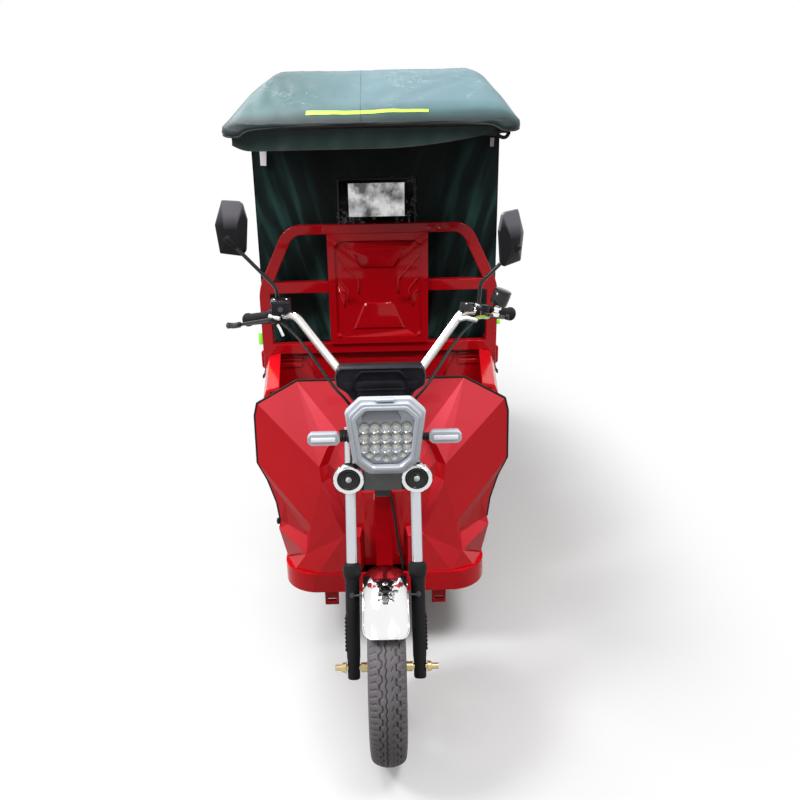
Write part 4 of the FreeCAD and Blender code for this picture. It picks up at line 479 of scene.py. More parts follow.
def finish_mesh(obj, mat, smooth_angle=35.0):
    coat(obj, mat)
    obj.data.shade_smooth()
    obj.data.set_sharp_from_angle(angle=math.radians(smooth_angle))
    return obj


def piece(name, verts, faces, mat, body, smooth_angle=35.0):
    mesh = bpy.data.meshes.new(name)
    mesh.from_pydata([tuple(v) for v in verts], [], faces)
    mesh.validate()
    obj = finish_mesh(add_object(name, mesh), mat, smooth_angle)
    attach(obj, body)
    return obj


def solid_mesh(obj):
    """New mesh of an object as it stands, with its modifiers or its curve's thickness."""
    graph = bpy.context.evaluated_depsgraph_get()
    graph.update()
    return bpy.data.meshes.new_from_object(obj.evaluated_get(graph))


def bake(obj):
    """Applies every modifier."""
    mesh = solid_mesh(obj)
    obj.modifiers.clear()
    obj.data = mesh


def bevelled(obj, width, segments=2, angle=30.0, mat=None, smooth_angle=35.0):
    mod = obj.modifiers.new("Bevel", "BEVEL")
    mod.width = width
    mod.segments = segments
    mod.limit_method = "ANGLE"
    mod.angle_limit = math.radians(angle)
    mod.harden_normals = False
    bake(obj)
    if mat:
        finish_mesh(obj, mat, smooth_angle)
    return obj


def join(name, objs, body):
    """Joins pieces on one body into one mesh that keeps their materials."""
    whole = objs[0]
    with bpy.context.temp_override(active_object=whole, selected_editable_objects=objs):
        bpy.ops.object.join()
    whole.name = name
    whole.data.name = name
    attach(whole, body)
    return whole


def prism_mesh(outline, push):
    """Vertices and faces of a flat outline pushed along a vector."""
    n = len(outline)
    push = Vector(push)
    verts = [Vector(p) for p in outline] + [Vector(p) + push for p in outline]
    faces = [list(range(n))[::-1], list(range(n, 2 * n))]
    for i in range(n):
        j = (i + 1) % n
        faces.append([i, j, n + j, n + i])
    return verts, faces


def prism(name, outline, push, mat, body, bevel=0.0, segments=2):
    verts, faces = prism_mesh(outline, push)
    obj = piece(name, verts, faces, mat, body)
    bm = bmesh.new()
    bm.from_mesh(obj.data)
    bmesh.ops.recalc_face_normals(bm, faces=bm.faces)
    bm.to_mesh(obj.data)
    bm.free()
    if bevel:
        bevelled(obj, bevel, segments, mat=mat)
    return obj


def slab(name, low, high, mat, body, bevel=0.002):
    """Rounded block between two corners."""
    x0, y0, z0 = low
    x1, y1, z1 = high
    outline = [(x0, y0, z0), (x1, y0, z0), (x1, y0, z1), (x0, y0, z1)]
    return prism(name, outline, (0, y1 - y0, 0), mat, body, bevel)


def grid_mesh(grid):
    """Skins rows of points."""
    n = len(grid[0])
    verts = [p for row in grid for p in row]
    faces = []
    for j in range(len(grid) - 1):
        for a in range(j * n, j * n + n - 1):
            faces.append([a, a + 1, a + n + 1, a + n])
    return verts, faces


def rings_mesh(rings, caps=True):
    """Skins closed rings of points, with a face on each end."""
    n = len(rings[0])
    verts = [p for ring in rings for p in ring]
    faces = []
    for base in range(0, len(verts) - n, n):
        for i in range(n):
            j = (i + 1) % n
            faces.append([base + i, base + j, base + n + j, base + n + i])
    if caps:
        faces.append(list(range(n))[::-1])
        faces.append(list(range(len(verts) - n, len(verts))))
    return verts, faces


def frame_about(axis):
    axis = Vector(axis).normalized()
    side = axis.orthogonal().normalized()
    return side, axis.cross(side)


def lathe(name, origin, axis, profile, mat, body, count=48):
    """Turned piece: profile holds (distance along the axis, radius)."""
    origin = Vector(origin)
    axis = Vector(axis).normalized()
    u, v = frame_about(axis)
    rings = []
    for along, radius in profile:
        ring = []
        for i in range(count):
            a = 2 * math.pi * i / count
            ring.append(origin + axis * along + (u * math.cos(a) + v * math.sin(a)) * radius)
        rings.append(ring)
    return piece(name, *rings_mesh(rings), mat, body)


def line_object(name, points, radius, resolution, bevels):
    """Round curve along a smooth line through the given control points."""
    curve = bpy.data.curves.new(name, "CURVE")
    curve.dimensions = "3D"
    spline = curve.splines.new("NURBS")
    spline.points.add(len(points) - 1)
    for slot, p in zip(spline.points, points):
        slot.co = (*p, 1.0)
    spline.order_u = 3
    spline.use_endpoint_u = True
    spline.resolution_u = resolution
    curve.bevel_depth = radius
    curve.bevel_resolution = bevels
    curve.use_fill_caps = True
    return add_object(name, curve)


def tube(name, points, radius, mat, body, sides=12):
    """Round bar or cable as a mesh."""
    source = line_object(name, points, radius, 8, max(1, sides // 4))
    curve = source.data
    mesh = solid_mesh(source)
    bpy.data.objects.remove(source)
    bpy.data.curves.remove(curve)
    obj = finish_mesh(add_object(name, mesh), mat)
    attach(obj, body)
    return obj


def welded_copy(prefix, node, flatten=False):
    """Copy of a CAD node on the same body, its vertices merged and if asked its flats made one face."""
    source = frame["nodes"][node]
    mesh = source.data.copy()
    obj = add_object(prefix + node, mesh)
    bm = bmesh.new()
    bm.from_mesh(mesh)
    bmesh.ops.remove_doubles(bm, verts=bm.verts, dist=0.00002)
    if flatten:
        bmesh.ops.dissolve_limit(bm, angle_limit=math.radians(3), verts=bm.verts, edges=bm.edges)
    bm.to_mesh(mesh)
    bm.free()
    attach(obj, body_of(source)[0])
    return obj


def smoothed(node, mat, angle):
    """Stands for a pressed CAD node with the same form and evenly shaded curves."""
    obj = finish_mesh(welded_copy("pressed_", node), mat, angle)
    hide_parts(node)
    return obj


def softened(node, width, mat, segments=2, angle=32.0):
    """Stands for a CAD node with the same form and rounded edges."""
    obj = welded_copy("edge_", node, flatten=True)
    bevelled(obj, width, segments, angle, mat, 40.0)
    weigh = obj.modifiers.new("Weigh", "WEIGHTED_NORMAL")
    weigh.weight = 100
    weigh.keep_sharp = True
    bake(obj)
    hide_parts(node)
    return obj


def dress(node, mat):
    """Gives a CAD node a material."""
    coat(frame["nodes"][node], mat)


def hub_of(node):
    """Middle of a CAD node and the body that it rides on."""
    low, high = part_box(node)
    return (low + high) / 2, body_of(frame["nodes"][node])[0]


# Wheels


def groove(gap, half, depth):
    """Depth of a rounded groove at a distance from its middle."""
    if gap >= half:
        return 0.0
    return depth * (1 - (gap / half) ** 4)


def stepped(turns):
    """Square wave with short slopes, one repeat for each turn."""
    part = turns - math.floor(turns)
    edge = min(abs(part - 0.5), part, 1 - part)
    return (1.0 if part < 0.5 else -1.0) * min(1.0, edge / 0.05)


def tread_depth(x, turns):
    """How deep the tread is cut at x across the tyre and so many pitches round."""
    depth = groove(abs(x - 0.0262 - 0.0042 * stepped(turns)), 0.0025, 0.0050)
    depth = max(depth, groove(abs(x + 0.0160 - 0.0036 * stepped(turns + 0.3)), 0.0024, 0.0048))
    depth = max(depth, groove(abs(x + 0.0030 - 0.0017 * math.sin(turns * 3 * math.pi)), 0.0018, 0.0044))
    cut = turns * 1.5 - math.floor(turns * 1.5) - 0.5
    if abs(cut) < 0.26:
        depth = max(depth, groove(abs(x - 0.0125 - 0.010 * cut), 0.0013, 0.0032))
    side = turns * 2 - math.floor(turns * 2) - 0.5
    if x < -0.0245 or x > 0.0345:
        depth = max(depth, groove(abs(side + (abs(x) - 0.033) * 18) * 0.0178, 0.0014, 0.0034))
    if 0.014 < x < 0.0215 or -0.0115 < x < -0.006:
        depth = max(depth, groove(abs(cut + 0.15) * 0.024, 0.0011, 0.0022))
    return depth


TYRE_SECTION = (
    (0.0290, 0.160), (0.0300, 0.168), (0.0450, 0.175), (0.0484, 0.186), (0.0490, 0.198), (0.0482, 0.212),
    (0.0464, 0.225), (0.0425, 0.2345), (0.0340, 0.2415), (0.0220, 0.2465), (0.0100, 0.2495), (0.0000, 0.2500),
)


def tyre_section(count):
    """Points of the tyre's outer skin from one bead to the other, evenly spaced where the tread is."""
    full = [Vector((-x, r, 0)) for x, r in TYRE_SECTION]
    full += [Vector((x, r, 0)) for x, r in TYRE_SECTION[-2::-1]]
    lengths = [0.0]
    for a, b in zip(full, full[1:]):
        lengths.append(lengths[-1] + (b - a).length)
    out = []
    for i in range(count + 1):
        s = lengths[-1] * (i / count + 0.10 * math.sin(2 * math.pi * i / count))
        k = max(j for j in range(len(lengths)) if lengths[j] <= s + 1e-9)
        k = min(k, len(full) - 2)
        t = (s - lengths[k]) / (lengths[k + 1] - lengths[k])
        p0, p1, p2, p3 = full[max(k - 1, 0)], full[k], full[k + 1], full[min(k + 2, len(full) - 1)]
        square = (2 * p0 - 5 * p1 + 4 * p2 - p3) * t * t
        p = 0.5 * (2 * p1 + (p2 - p0) * t + square + (3 * p1 - p0 - 3 * p2 + p3) * t ** 3)
        out.append((p.x, p.y))
    return out


TREAD_FLOOR = 0.2345
SIDE_RIBS = (0.203, 0.222)
SIDE_RING = (0.1885, 0.1925)
WHEEL_BOLTS = 6


def make_tyres(look):
    """Tyres with a cut zigzag tread, side rings and fine ribs."""
    columns = tyre_section(96)
    n = len(columns)
    for node, fine in (("front_tyre", 12), ("rear_tyre_left", 6), ("rear_tyre_right", 6)):
        around = look.tread_pitches * fine
        rows = []
        for j in range(around):
            a = 2 * math.pi * j / around
            row = []
            for x, r in columns:
                cut = 0.0
                if r > TREAD_FLOOR:
                    cut = tread_depth(x, j / fine + 0.03)
                elif SIDE_RIBS[0] < r < SIDE_RIBS[1]:
                    cut = 0.0006 * (j % 2)
                elif SIDE_RING[0] < r < SIDE_RING[1]:
                    cut = -0.0007
                row.append(Vector((x, (r - cut) * math.sin(a), (r - cut) * math.cos(a))))
            rows.append(row)
        verts, faces = grid_mesh(rows)
        base = (around - 1) * n
        for i in range(n - 1):
            faces.append([base + i, base + i + 1, i + 1, i])
        centre, body = hub_of(node)
        tyre = piece("tread_" + node, [p + centre for p in verts], faces, M["tyre"], body, 50)
        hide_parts(node)
        valve = [(0, 0.003), (0.022, 0.003), (0.024, 0.0042), (0.034, 0.0042), (0.036, 0.002)]
        valve_at = centre + Vector((0.016, 0.0, 0.156))
        lathe("valve_" + node, valve_at, (0.5, 0, -1), valve, M["rubber"], body, 16)
    ring = [(0, 0.030), (0.0, 0.041), (0.003, 0.043), (0.006, 0.040), (0.007, 0.024), (0.004, 0.021)]
    for node in ("front_wheel", "rear_wheel_left", "rear_wheel_right"):
        dress(node, M["cast"])
        centre, body = hub_of(node)
        for way in (-1, 1):
            start = centre + Vector((way * 0.0425, 0, 0))
            lathe("hub_ring_%s_%d" % (node, way + 1), start, (way, 0, 0), ring, M["cast"], body)
        for k in range(WHEEL_BOLTS):
            a = 2 * math.pi * (k + 0.5) / WHEEL_BOLTS
            seat = centre + Vector((0.003, 0.086 * math.sin(a), 0.086 * math.cos(a)))
            bolt_head("wheel_bolt_%s_%d" % (node, k), seat, (1, 0, 0), 0.007, 0.005, M["zinc"], body)


def bolt_head(name, at, axis, radius, height, mat, body):
    """Six-sided head on a washer."""
    at = Vector(at)
    axis = Vector(axis).normalized()
    u, v = frame_about(axis)
    rings = []
    for along, r in ((0, 1.0), (height * 0.8, 1.0), (height, 0.88)):
        ring = []
        for k in range(6):
            spoke = u * math.cos(k * math.pi / 3) + v * math.sin(k * math.pi / 3)
            ring.append(at + axis * (along + 0.001) + spoke * radius * r)
        rings.append(ring)
    head = piece(name, *rings_mesh(rings), mat, body, 30)
    washer = [(0, radius * 1.3), (0.0012, radius * 1.3), (0.0015, radius * 1.2)]
    return join(name, [head, lathe(name + "_washer", at, axis, washer, mat, body, 24)], body)


# Fork, axle and mudguard

FORK_AIM = leaning(0, 0, 1) - leaning(0, 0, 0)
FORK_BACK = leaning(0, 1, 0) - leaning(0, 0, 0)
LEG_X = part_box("fork_tubes")[1].x - 0.015
LEG_PROFILE = (
    (0, 0.010), (0, 0.0150), (0.003, 0.0168), (0.05, 0.0172), (0.06, 0.0184), (0.2, 0.0194), (0.266, 0.0196),
    (0.270, 0.0208), (0.274, 0.0236), (0.280, 0.0246), (0.286, 0.0254), (0.300, 0.0258), (0.306, 0.0245),
    (0.311, 0.0185), (0.312, 0.0152),
)


def make_fork(look):
    """Black lower legs with collars and cooling ribs, bright tubes and both yokes."""
    parts = []
    for way in (-1, 1):
        x = way * LEG_X
        side = way + 1

        def fin(name, spots, thick, bevel):
            outline = [leaning(x + way * out, -thick / 2, up) for out, up in spots]
            parts.append(prism(name, outline, FORK_BACK * thick, M["rubber"], STEER, bevel, 1))

        parts.append(lathe(
            "leg_%d" % side, leaning(x, 0, -0.03), FORK_AIM, LEG_PROFILE, M["rubber"], STEER, 40,
        ))
        for k in range(9):
            low = 0.045 + k * 0.0105
            rib = ((0.012, low), (0.0225, low + 0.001), (0.0225, low + 0.005), (0.012, low + 0.006))
            fin("rib_%d_%d" % (side, k), rib, 0.018, 0.0008)
        fin("web_%d" % side, ((0.010, 0.03), (0.0205, 0.045), (0.0205, 0.142), (0.010, 0.16)), 0.008, 0.001)
    legs = join("fork_legs", parts, STEER)
    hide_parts("fork_lowers")
    dress("fork_tubes", M["tube"])
    softened("fork_yokes", 0.003, M["black_paint"])
    dress("front_axle", M["zinc"])
    for way in (-1, 1):
        at = Vector((way * (LEG_X + 0.0205), 0, WHEEL_R))
        bolt_head("axle_nut_%d" % (way + 1), at, (way, 0, 0), 0.0125, 0.011, M["zinc"], STEER)
    stud_from = Vector((-(LEG_X + 0.03), 0, WHEEL_R))
    lathe(
        "axle_stud", stud_from, (-1, 0, 0), [(0, 0.0062), (0.02, 0.0062), (0.0215, 0.005)], M["zinc"], STEER,
        24,
    )


def make_mudguard(look):
    """One pressed chrome blade about the wheel with a rolled edge, and its dark wire stays."""
    half = 0.0575
    top = 0.272
    lead = math.radians(35.5)
    trail = math.radians(69.5)
    steps = 130
    across = 36
    corner = 0.12
    rings = []
    for i in range(steps + 1):
        a = -lead + (lead + trail) * i / steps
        run = min((a + lead) / corner, (trail - a) / corner, 1.0)
        width = half * (0.70 + 0.30 * math.sqrt(max(0.0, 1 - (1 - run) ** 2)))
        row = []
        for j in range(across + 1):
            t = -1 + 2 * j / across
            x = width * math.sin(t * math.pi / 2)
            s = x / half
            r = top - 0.021 * s ** 2 - 0.006 * s ** 8 + 0.0012 * math.exp(-((abs(s) - 0.62) / 0.05) ** 2)
            bow = a - 0.030 * (1 - s * s) * max(0.0, 1 - (a + lead) / 0.30)
            row.append(Vector((x, r * math.sin(bow), WHEEL_R + r * math.cos(bow))))
        rings.append(row)
    blade = piece("mudguard_blade", *grid_mesh(rings), M["chrome"], STEER, 60)
    solid = blade.modifiers.new("Sheet", "SOLIDIFY")
    solid.thickness = 0.0018
    solid.offset = -1
    bake(blade)
    finish_mesh(blade, M["chrome"], 60)
    edge = [rings[0][j] for j in range(0, across + 1, 2)]
    edge += [rings[i][-1] for i in range(1, steps, 3)]
    edge += [rings[-1][j] for j in range(across, -1, -2)]
    edge += [rings[i][0] for i in range(steps - 1, 0, -3)]
    edge.append(edge[0])
    bead = tube("mudguard_bead", edge, 0.0022, M["chrome"], STEER, 8)
    tip = math.radians(-2)
    out = Vector((0, math.sin(tip), math.cos(tip)))
    rivet_at = (0, (top - 0.001) * out.y, WHEEL_R + (top - 0.001) * out.z)
    rivet = lathe(
        "mudguard_rivet", rivet_at, out, [(0, 0.007), (0.0018, 0.0068), (0.003, 0.004)], M["chrome"], STEER,
        24,
    )
    stays = []
    for way in (-1, 1):
        route = (
            (0.054, -0.030, 0.199), (0.062, -0.026, 0.198), (LEG_X - 0.012, -0.0225, 0.196),
            (LEG_X + 0.004, -0.0225, 0.196),
        )
        points = [leaning(way * x, back, up) for x, back, up in route]
        stays.append(tube("guard_stay_%d" % (way + 1), points, 0.0030, M["lever"], STEER, 10))
        bolt_at = leaning(way * LEG_X, -0.0185, 0.196)
        stays.append(bolt_head(
            "stay_bolt_%d" % (way + 1), bolt_at, -FORK_BACK, 0.0055, 0.005, M["lever"], STEER,
        ))
    guard = join("front_mudguard_blade", [blade, bead, rivet], STEER)
    join("mudguard_stays", stays, STEER)
    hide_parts("front_mudguard")


# Lamp, horns, signals and dash


LAMP_TALL = 0.107
LAMP_CUT = 0.038
LAMP_DEPTH = 0.036
CUP_RADIUS = 0.0135
CUP_PITCH = 0.0270
CUP_ROWS = (0.0262, -0.0012, -0.0286)
SMALL_PITCH = 0.0215
SMALL_CUPS = (-0.0500, -0.0575, -0.0610, -0.0575, -0.0500)
BEZEL_STEPS = (
    (0.004, LAMP_DEPTH), (0.0, LAMP_DEPTH - 0.006), (0.0, 0.024), (0.004, 0.016), (0.010, 0.0145),
    (0.0115, 0.006), (0.0135, 0.0042), (0.0185, 0.0046), (0.0200, 0.0005), (0.0225, 0.0), (0.0275, 0.0006),
    (0.0300, 0.0040), (0.0305, 0.0180),
)
BOWL_STEPS = (
    (0.012, LAMP_DEPTH + 0.010), (0.036, LAMP_DEPTH + 0.030), (0.045, LAMP_DEPTH + 0.060),
    (0.060, LAMP_DEPTH + 0.068),
)


def octagon(centre, half_x, shrink, y):
    """Eight-sided lamp outline, narrower below, shrunk on every side."""
    x = half_x - shrink
    z = LAMP_TALL - shrink
    c = max(0.004, LAMP_CUT - shrink * 0.42)
    foot = x * 0.84
    points = [
        (-x + c, z), (x - c, z), (x, z - c), (foot, -z + c * 0.95), (foot - c * 1.1, -z),
        (-foot + c * 1.1, -z), (-foot, -z + c * 0.95), (-x, z - c),
    ]
    return [Vector((centre.x + px, y, centre.z + pz)) for px, pz in points]


def scaled(profile, radius):
    """Turned profile whose radii are given as shares of one radius."""
    return [(along, radius * share) for along, share in profile]


def trapezoid(half, z, other_half, other_z):
    """Corners (x, z) of a symmetric shape between two level edges."""
    return [(-half, z), (half, z), (other_half, other_z), (-other_half, other_z)]


def upright(points, y):
    """Points (x, z) set on the plane at y."""
    return [Vector((x, y, z)) for x, z in points]


def rounded_outline(points, radius, steps=3):
    """Flat outline with each corner rounded."""
    out = []
    n = len(points)
    for i in range(n):
        here = points[i]
        back = points[i - 1] - here
        ahead = points[(i + 1) % n] - here
        r = min(radius, back.length * 0.45, ahead.length * 0.45)
        a = here + back.normalized() * r
        b = here + ahead.normalized() * r
        for k in range(steps + 1):
            t = k / steps
            out.append((1 - t) ** 2 * a + 2 * t * (1 - t) * here + t * t * b)
    return out


def make_lamp(look):
    """Stepped silver bezel, reflector plate with three rows of lamps, marker strip and clear front."""
    low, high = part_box("headlamp_shell")
    lens_low, lens_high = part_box("headlamp_lens")
    half_x = (high.x - low.x) / 2
    centre = Vector(((low.x + high.x) / 2, low.y, (lens_low.z + lens_high.z) / 2))
    face = low.y

    def ring(shrink, back, radius=0.007):
        return rounded_outline(octagon(centre, half_x, shrink, face + back), radius)

    rings = [ring(shrink, back) for shrink, back in BEZEL_STEPS]
    bezel = piece("lamp_bezel", *rings_mesh(rings, caps=False), M["bezel"], STEER, 28)
    rings = [ring(0.004, LAMP_DEPTH)] + [ring(shrink, back, 0.012) for shrink, back in BOWL_STEPS]
    piece("lamp_bowl", *rings_mesh(rings), M["black"], STEER, 40)
    plate_y = face + 0.0215
    plate = prism_mesh(octagon(centre, half_x, 0.0285, plate_y), (0, 0.004, 0))
    piece("lamp_plate", *plate, M["lamp_ground"], STEER)
    cup_shares = ((0.0, 0.35), (0.0012, 0.5), (0.0065, 0.9), (0.0078, 1.0), (0.0062, 1.02), (0.0, 1.02))
    cup = scaled(cup_shares, CUP_RADIUS)
    dome = scaled(((0.0001, 0.62), (0.004, 0.62), (0.0072, 0.5), (0.0092, 0.26)), CUP_RADIUS)
    dome = [(0.0, 0.0005)] + dome + [(0.0098, 0.0004)]
    small_cup = [(0.0, 0.0022), (0.0012, 0.0032), (0.0040, 0.0066), (0.0048, 0.0076), (0.0, 0.0078)]
    small_chip = [(0.0, 0.0005), (0.0016, 0.0022), (0.0028, 0.0012)]
    domes = []
    cups = []
    chips = []
    for z in CUP_ROWS:
        for col in range(5):
            at = Vector((centre.x + (col - 2) * CUP_PITCH, plate_y - 0.001, centre.z + z))
            cups.append(lathe("lamp_cup", at, (0, -1, 0), cup, M["reflector"], STEER, 24))
            domes.append(lathe("lamp_dome", at, (0, -1, 0), dome, M["led"], STEER, 20))
            low_corner = at + Vector((-0.0024, -0.0022, -0.0024))
            chips.append(slab(
                "lamp_chip", low_corner, at + Vector((0.0024, -0.0016, 0.0024)), M["chip"], STEER, 0.0,
            ))
    for col, z in enumerate(SMALL_CUPS):
        at = Vector((centre.x + (col - 2) * SMALL_PITCH, plate_y - 0.001, centre.z + z))
        cups.append(lathe("lamp_small_cup", at, (0, -1, 0), small_cup, M["reflector"], STEER, 20))
        chips.append(lathe("lamp_small_chip", at, (0, -1, 0), small_chip, M["chip"], STEER, 12))
    strip_x = centre.x - 0.010
    strip = trapezoid(0.052, 0.0460, 0.038, 0.0735)
    strip_line = [Vector((strip_x + px, plate_y - 0.008, centre.z + pz)) for px, pz in strip]
    prism("lamp_strip", rounded_outline(strip_line, 0.004, 2), (0, 0.007, 0), M["strip"], STEER, 0.0015, 1)
    join("lamp_cups", cups, STEER)
    join("lamp_domes", domes, STEER)
    join("lamp_chips", chips, STEER)
    front_line = rounded_outline(octagon(centre, half_x, 0.0302, lens_low.y - 0.006), 0.006)
    front = piece("lamp_front", *prism_mesh(front_line, (0, 0.0025, 0)), M["lens"], STEER)
    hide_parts("headlamp_lens")
    arm_low = (-0.046, face + LAMP_DEPTH + 0.055, centre.z - 0.036)
    slab("lamp_arm", arm_low, (0.046, high.y, centre.z - 0.016), M["black_paint"], STEER, 0.003)
    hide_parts("headlamp_shell")
    tab_top = centre.z + LAMP_TALL - 0.0005
    slab(
        "lamp_tab", (centre.x - 0.024, face + 0.005, tab_top - 0.0075),
        (centre.x + 0.024, face + 0.030, tab_top), M["bezel"], STEER,
    )


HORN_X = 0.09
HORN_Z = 0.757
HORN_RADIUS = 0.0415
HORN_PROFILE = (
    (0.028, 0.7), (0.028, 0.93), (0.012, 0.93), (0.006, 0.75), (0.004, 0.70), (0.0065, 0.64), (0.0065, 0.54),
    (0.0040, 0.50), (0.0040, 0.42), (0.0060, 0.36), (0.0060, 0.28), (0.0035, 0.22), (0.0035, 0.05),
)
HORN_SCREW = ((0, 0.2), (0.005, 0.19), (0.0066, 0.14))
HORN_RIM = (
    (0.018, 0.93), (0.018, 1.0), (0.005, 1.0), (0.0015, 0.985), (0.0, 0.95), (0.0008, 0.90), (0.0030, 0.80),
    (0.0036, 0.75), (0.010, 0.74),
)
RIM_POINTS = 96


def make_horns(look):
    """Two disc horns with notched bright rims on a dark plate."""
    low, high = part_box("horn_set")
    face = low.y
    parts = []
    bright = []
    disc = scaled(HORN_PROFILE, HORN_RADIUS)
    screw = scaled(HORN_SCREW, HORN_RADIUS) + [(0.007, 0.001)]
    for way in (-1, 1):
        at = Vector((way * HORN_X, face, HORN_Z))
        parts.append(lathe("horn_disc_%d" % (way + 1), at, (0, 1, 0), disc, M["gloss_black"], STEER, 56))
        screw_at = at + Vector((0, 0.0066, 0))
        bright.append(lathe("horn_screw_%d" % (way + 1), screw_at, (0, -1, 0), screw, M["white"], STEER, 24))
        rings = []
        for along, share in HORN_RIM:
            ring = []
            for k in range(RIM_POINTS):
                a = 2 * math.pi * k / RIM_POINTS
                notch = 0.03 if (k % 16) in (0, 1) and share > 0.9 else 0.0
                r = HORN_RADIUS * (share - notch)
                ring.append(at + Vector((r * math.cos(a), along, r * math.sin(a))))
            rings.append(ring)
        bright.append(piece(
            "horn_rim_%d" % (way + 1), *rings_mesh(rings, caps=False), M["silver"], STEER, 40,
        ))
    horns = join("horn_discs", parts, STEER)
    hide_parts("horn_set")
    join("horn_rims", bright, STEER)

    def bar(name, half, near, far, below, above, mat, bevel):
        corner = (-half, near, HORN_Z - below)
        slab(name, corner, (half, far, HORN_Z + above), mat, STEER, bevel)

    bar("horn_plate", 0.050, face + 0.010, face + 0.016, 0.036, 0.020, M["plate"], 0.0018)
    bar("horn_carrier", HORN_X + 0.016, face + 0.028, face + 0.032, 0.013, 0.013, M["black_paint"], 0.001)
    bar("horn_arm", 0.019, face + 0.017, high.y, 0.059, -0.016, M["black_paint"], 0.002)


def make_signals(look):
    """Clear turn signals with a bright edge, white bar and black rubber stalks."""
    low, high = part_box("turn_signals")
    shift = (high.x + low.x) / 2
    outer = high.x - shift
    inner = 0.115
    z_mid = (low.z + high.z) / 2
    half = (high.z - low.z) / 2
    depth = high.y - low.y
    face = low.y
    cut = 0.009
    stalk = (
        (0, 0.013), (0.004, 0.0125), (0.008, 0.009), (0.012, 0.0105), (0.016, 0.009), (0.020, 0.0105),
        (0.026, 0.0085),
    )
    shells = []
    covers = []
    bars = []
    stalks = []
    for way in (-1, 1):
        def outline(shrink, back):
            a = inner + shrink
            b = outer - shrink
            h = half - shrink
            c = cut - shrink * 0.4
            pts = [
                (a + c, -h), (b - c, -h), (b, -h + c), (b, h - c), (b - c, h), (a + c, h), (a, h - c),
                (a, -h + c),
            ]
            return rounded_outline(
                [Vector((shift + way * px, face + back, z_mid + pz)) for px, pz in pts], 0.003, 2,
            )

        def skin(name, steps, mat):
            return piece(name, *rings_mesh([outline(*step) for step in steps]), mat, STEER, 40)

        back_steps = ((0.004, depth), (0.0, depth * 0.8), (0.0, 0.010), (0.0006, 0.006))
        shells.append(skin("signal_back", back_steps, M["bezel"]))
        cover_steps = ((0.0008, 0.010), (0.0008, 0.003), (0.003, 0.0002), (0.008, 0.0))
        covers.append(skin("signal_cover", cover_steps, M["lens"]))
        a, b = sorted((shift + way * (inner + 0.012), shift + way * (outer - 0.010)))
        bar_low = (a, face + 0.004, z_mid - 0.006)
        bars.append(slab(
            "signal_bar", bar_low, (b, face + 0.0085, z_mid + 0.006), M["white_bar"], STEER, 0.0012,
        ))
        base = Vector((shift + way * 0.091, face + depth / 2, z_mid))
        stalks.append(lathe("signal_stalk", base, (way, 0, 0), stalk, M["rubber"], STEER, 28))
    shell = join("signal_shells", shells, STEER)
    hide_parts("turn_signals")
    join("signal_covers", covers, STEER)
    join("signal_bars", bars, STEER)
    join("signal_stalks", stalks, STEER)


def make_dash(look):
    """Black instrument housing: trapezoid face with an arched relief, side recesses and a low neck."""
    low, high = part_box("dash_housing")
    top = high.z
    bottom = low.z
    half = high.x
    foot = 0.090
    face = low.y
    back = high.y

    def face_outline(shrink, y):
        right = [
            (half - 0.010 - shrink, top - shrink), (half - shrink, top - 0.022),
            (half - 0.003 - shrink, top - 0.052), (foot - shrink, bottom + 0.022),
            (foot - 0.012 - shrink, bottom + shrink),
        ]
        left = [(-x, z) for x, z in right[::-1]]
        return rounded_outline(upright(left[-2:] + right + left[:-2], y), 0.008)

    steps = (
        (0.003, back), (0.0, back - 0.003), (0.0, face + 0.006), (0.003, face + 0.0015),
        (0.005, face + 0.0025), (0.006, face + 0.006),
    )
    rings = [face_outline(shrink, y) for shrink, y in steps]
    parts = [piece("dash_shell", *rings_mesh(rings), M["black"], STEER)]

    def relief(name, points, forward, push, bevel=0.002):
        outline = upright(points, face + forward)
        parts.append(prism(name, outline, (0, push, 0), M["black"], STEER, bevel))

    arch = [
        (-0.072, top - 0.030), (-0.052, top - 0.008), (0.052, top - 0.008), (0.072, top - 0.030),
        (0.064, top - 0.034), (0.047, top - 0.015), (-0.047, top - 0.015), (-0.064, top - 0.034),
    ]
    relief("dash_arch", arch, 0.0005, 0.010)
    relief("dash_panel", trapezoid(0.060, top - 0.038, 0.066, bottom + 0.030), 0.0035, 0.010)
    relief("dash_ridge", trapezoid(0.063, bottom + 0.034, 0.064, bottom + 0.028), -0.001, 0.010, 0.0015)
    relief("dash_neck", trapezoid(0.060, bottom + 0.028, 0.066, bottom - 0.002), 0.001, 0.022)
    pocket = ((0.102, top - 0.040), (0.074, top - 0.042), (0.072, bottom + 0.026), (0.088, bottom + 0.026))
    for way in (-1, 1):
        relief("dash_pocket_%d" % (way + 1), [(way * x, z) for x, z in pocket], 0.0045, 0.006, 0.0015)
    relief(
        "dash_notch", [(-0.0035, top - 0.007), (0.0035, top - 0.007), (0.0, top - 0.017)], -0.0003, 0.004,
        0.0004,
    )
    dash = join("dash_face", parts, STEER)
    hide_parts("dash_housing")
    glass = upright(trapezoid(0.105, top - 0.004, 0.096, bottom + 0.024), back - 0.001)
    prism("dash_glass", glass, (0, 0.0018, 0), M["gloss_black"], STEER, 0.0006, 1)


# Handlebar, controls, mirrors and cables


def bent(points, reach):
    """Control points that keep the runs straight and turn each corner within a reach."""
    out = [points[0]]
    for before, here, after in zip(points, points[1:], points[2:]):
        out.append(here + (before - here).normalized() * reach)
        out.append(here)
        out.append(here + (after - here).normalized() * reach)
    out.append(points[-1])
    return out


BAR_END = Vector((0.400, 0.605, 1.070))
BAR_KNEE = Vector((0.240, 0.452, 1.124))
BAR_FLAT = Vector((0.058, 0.268, 0.938))
GRIP_AIM = (BAR_END - BAR_KNEE).normalized()
SWITCH_BACK = 0.1478
GRIP_RIBS = 20
PERCH = BAR_KNEE + GRIP_AIM * 0.07


def mirrored_point(p, way):
    return Vector((p.x * way, p.y, p.z))


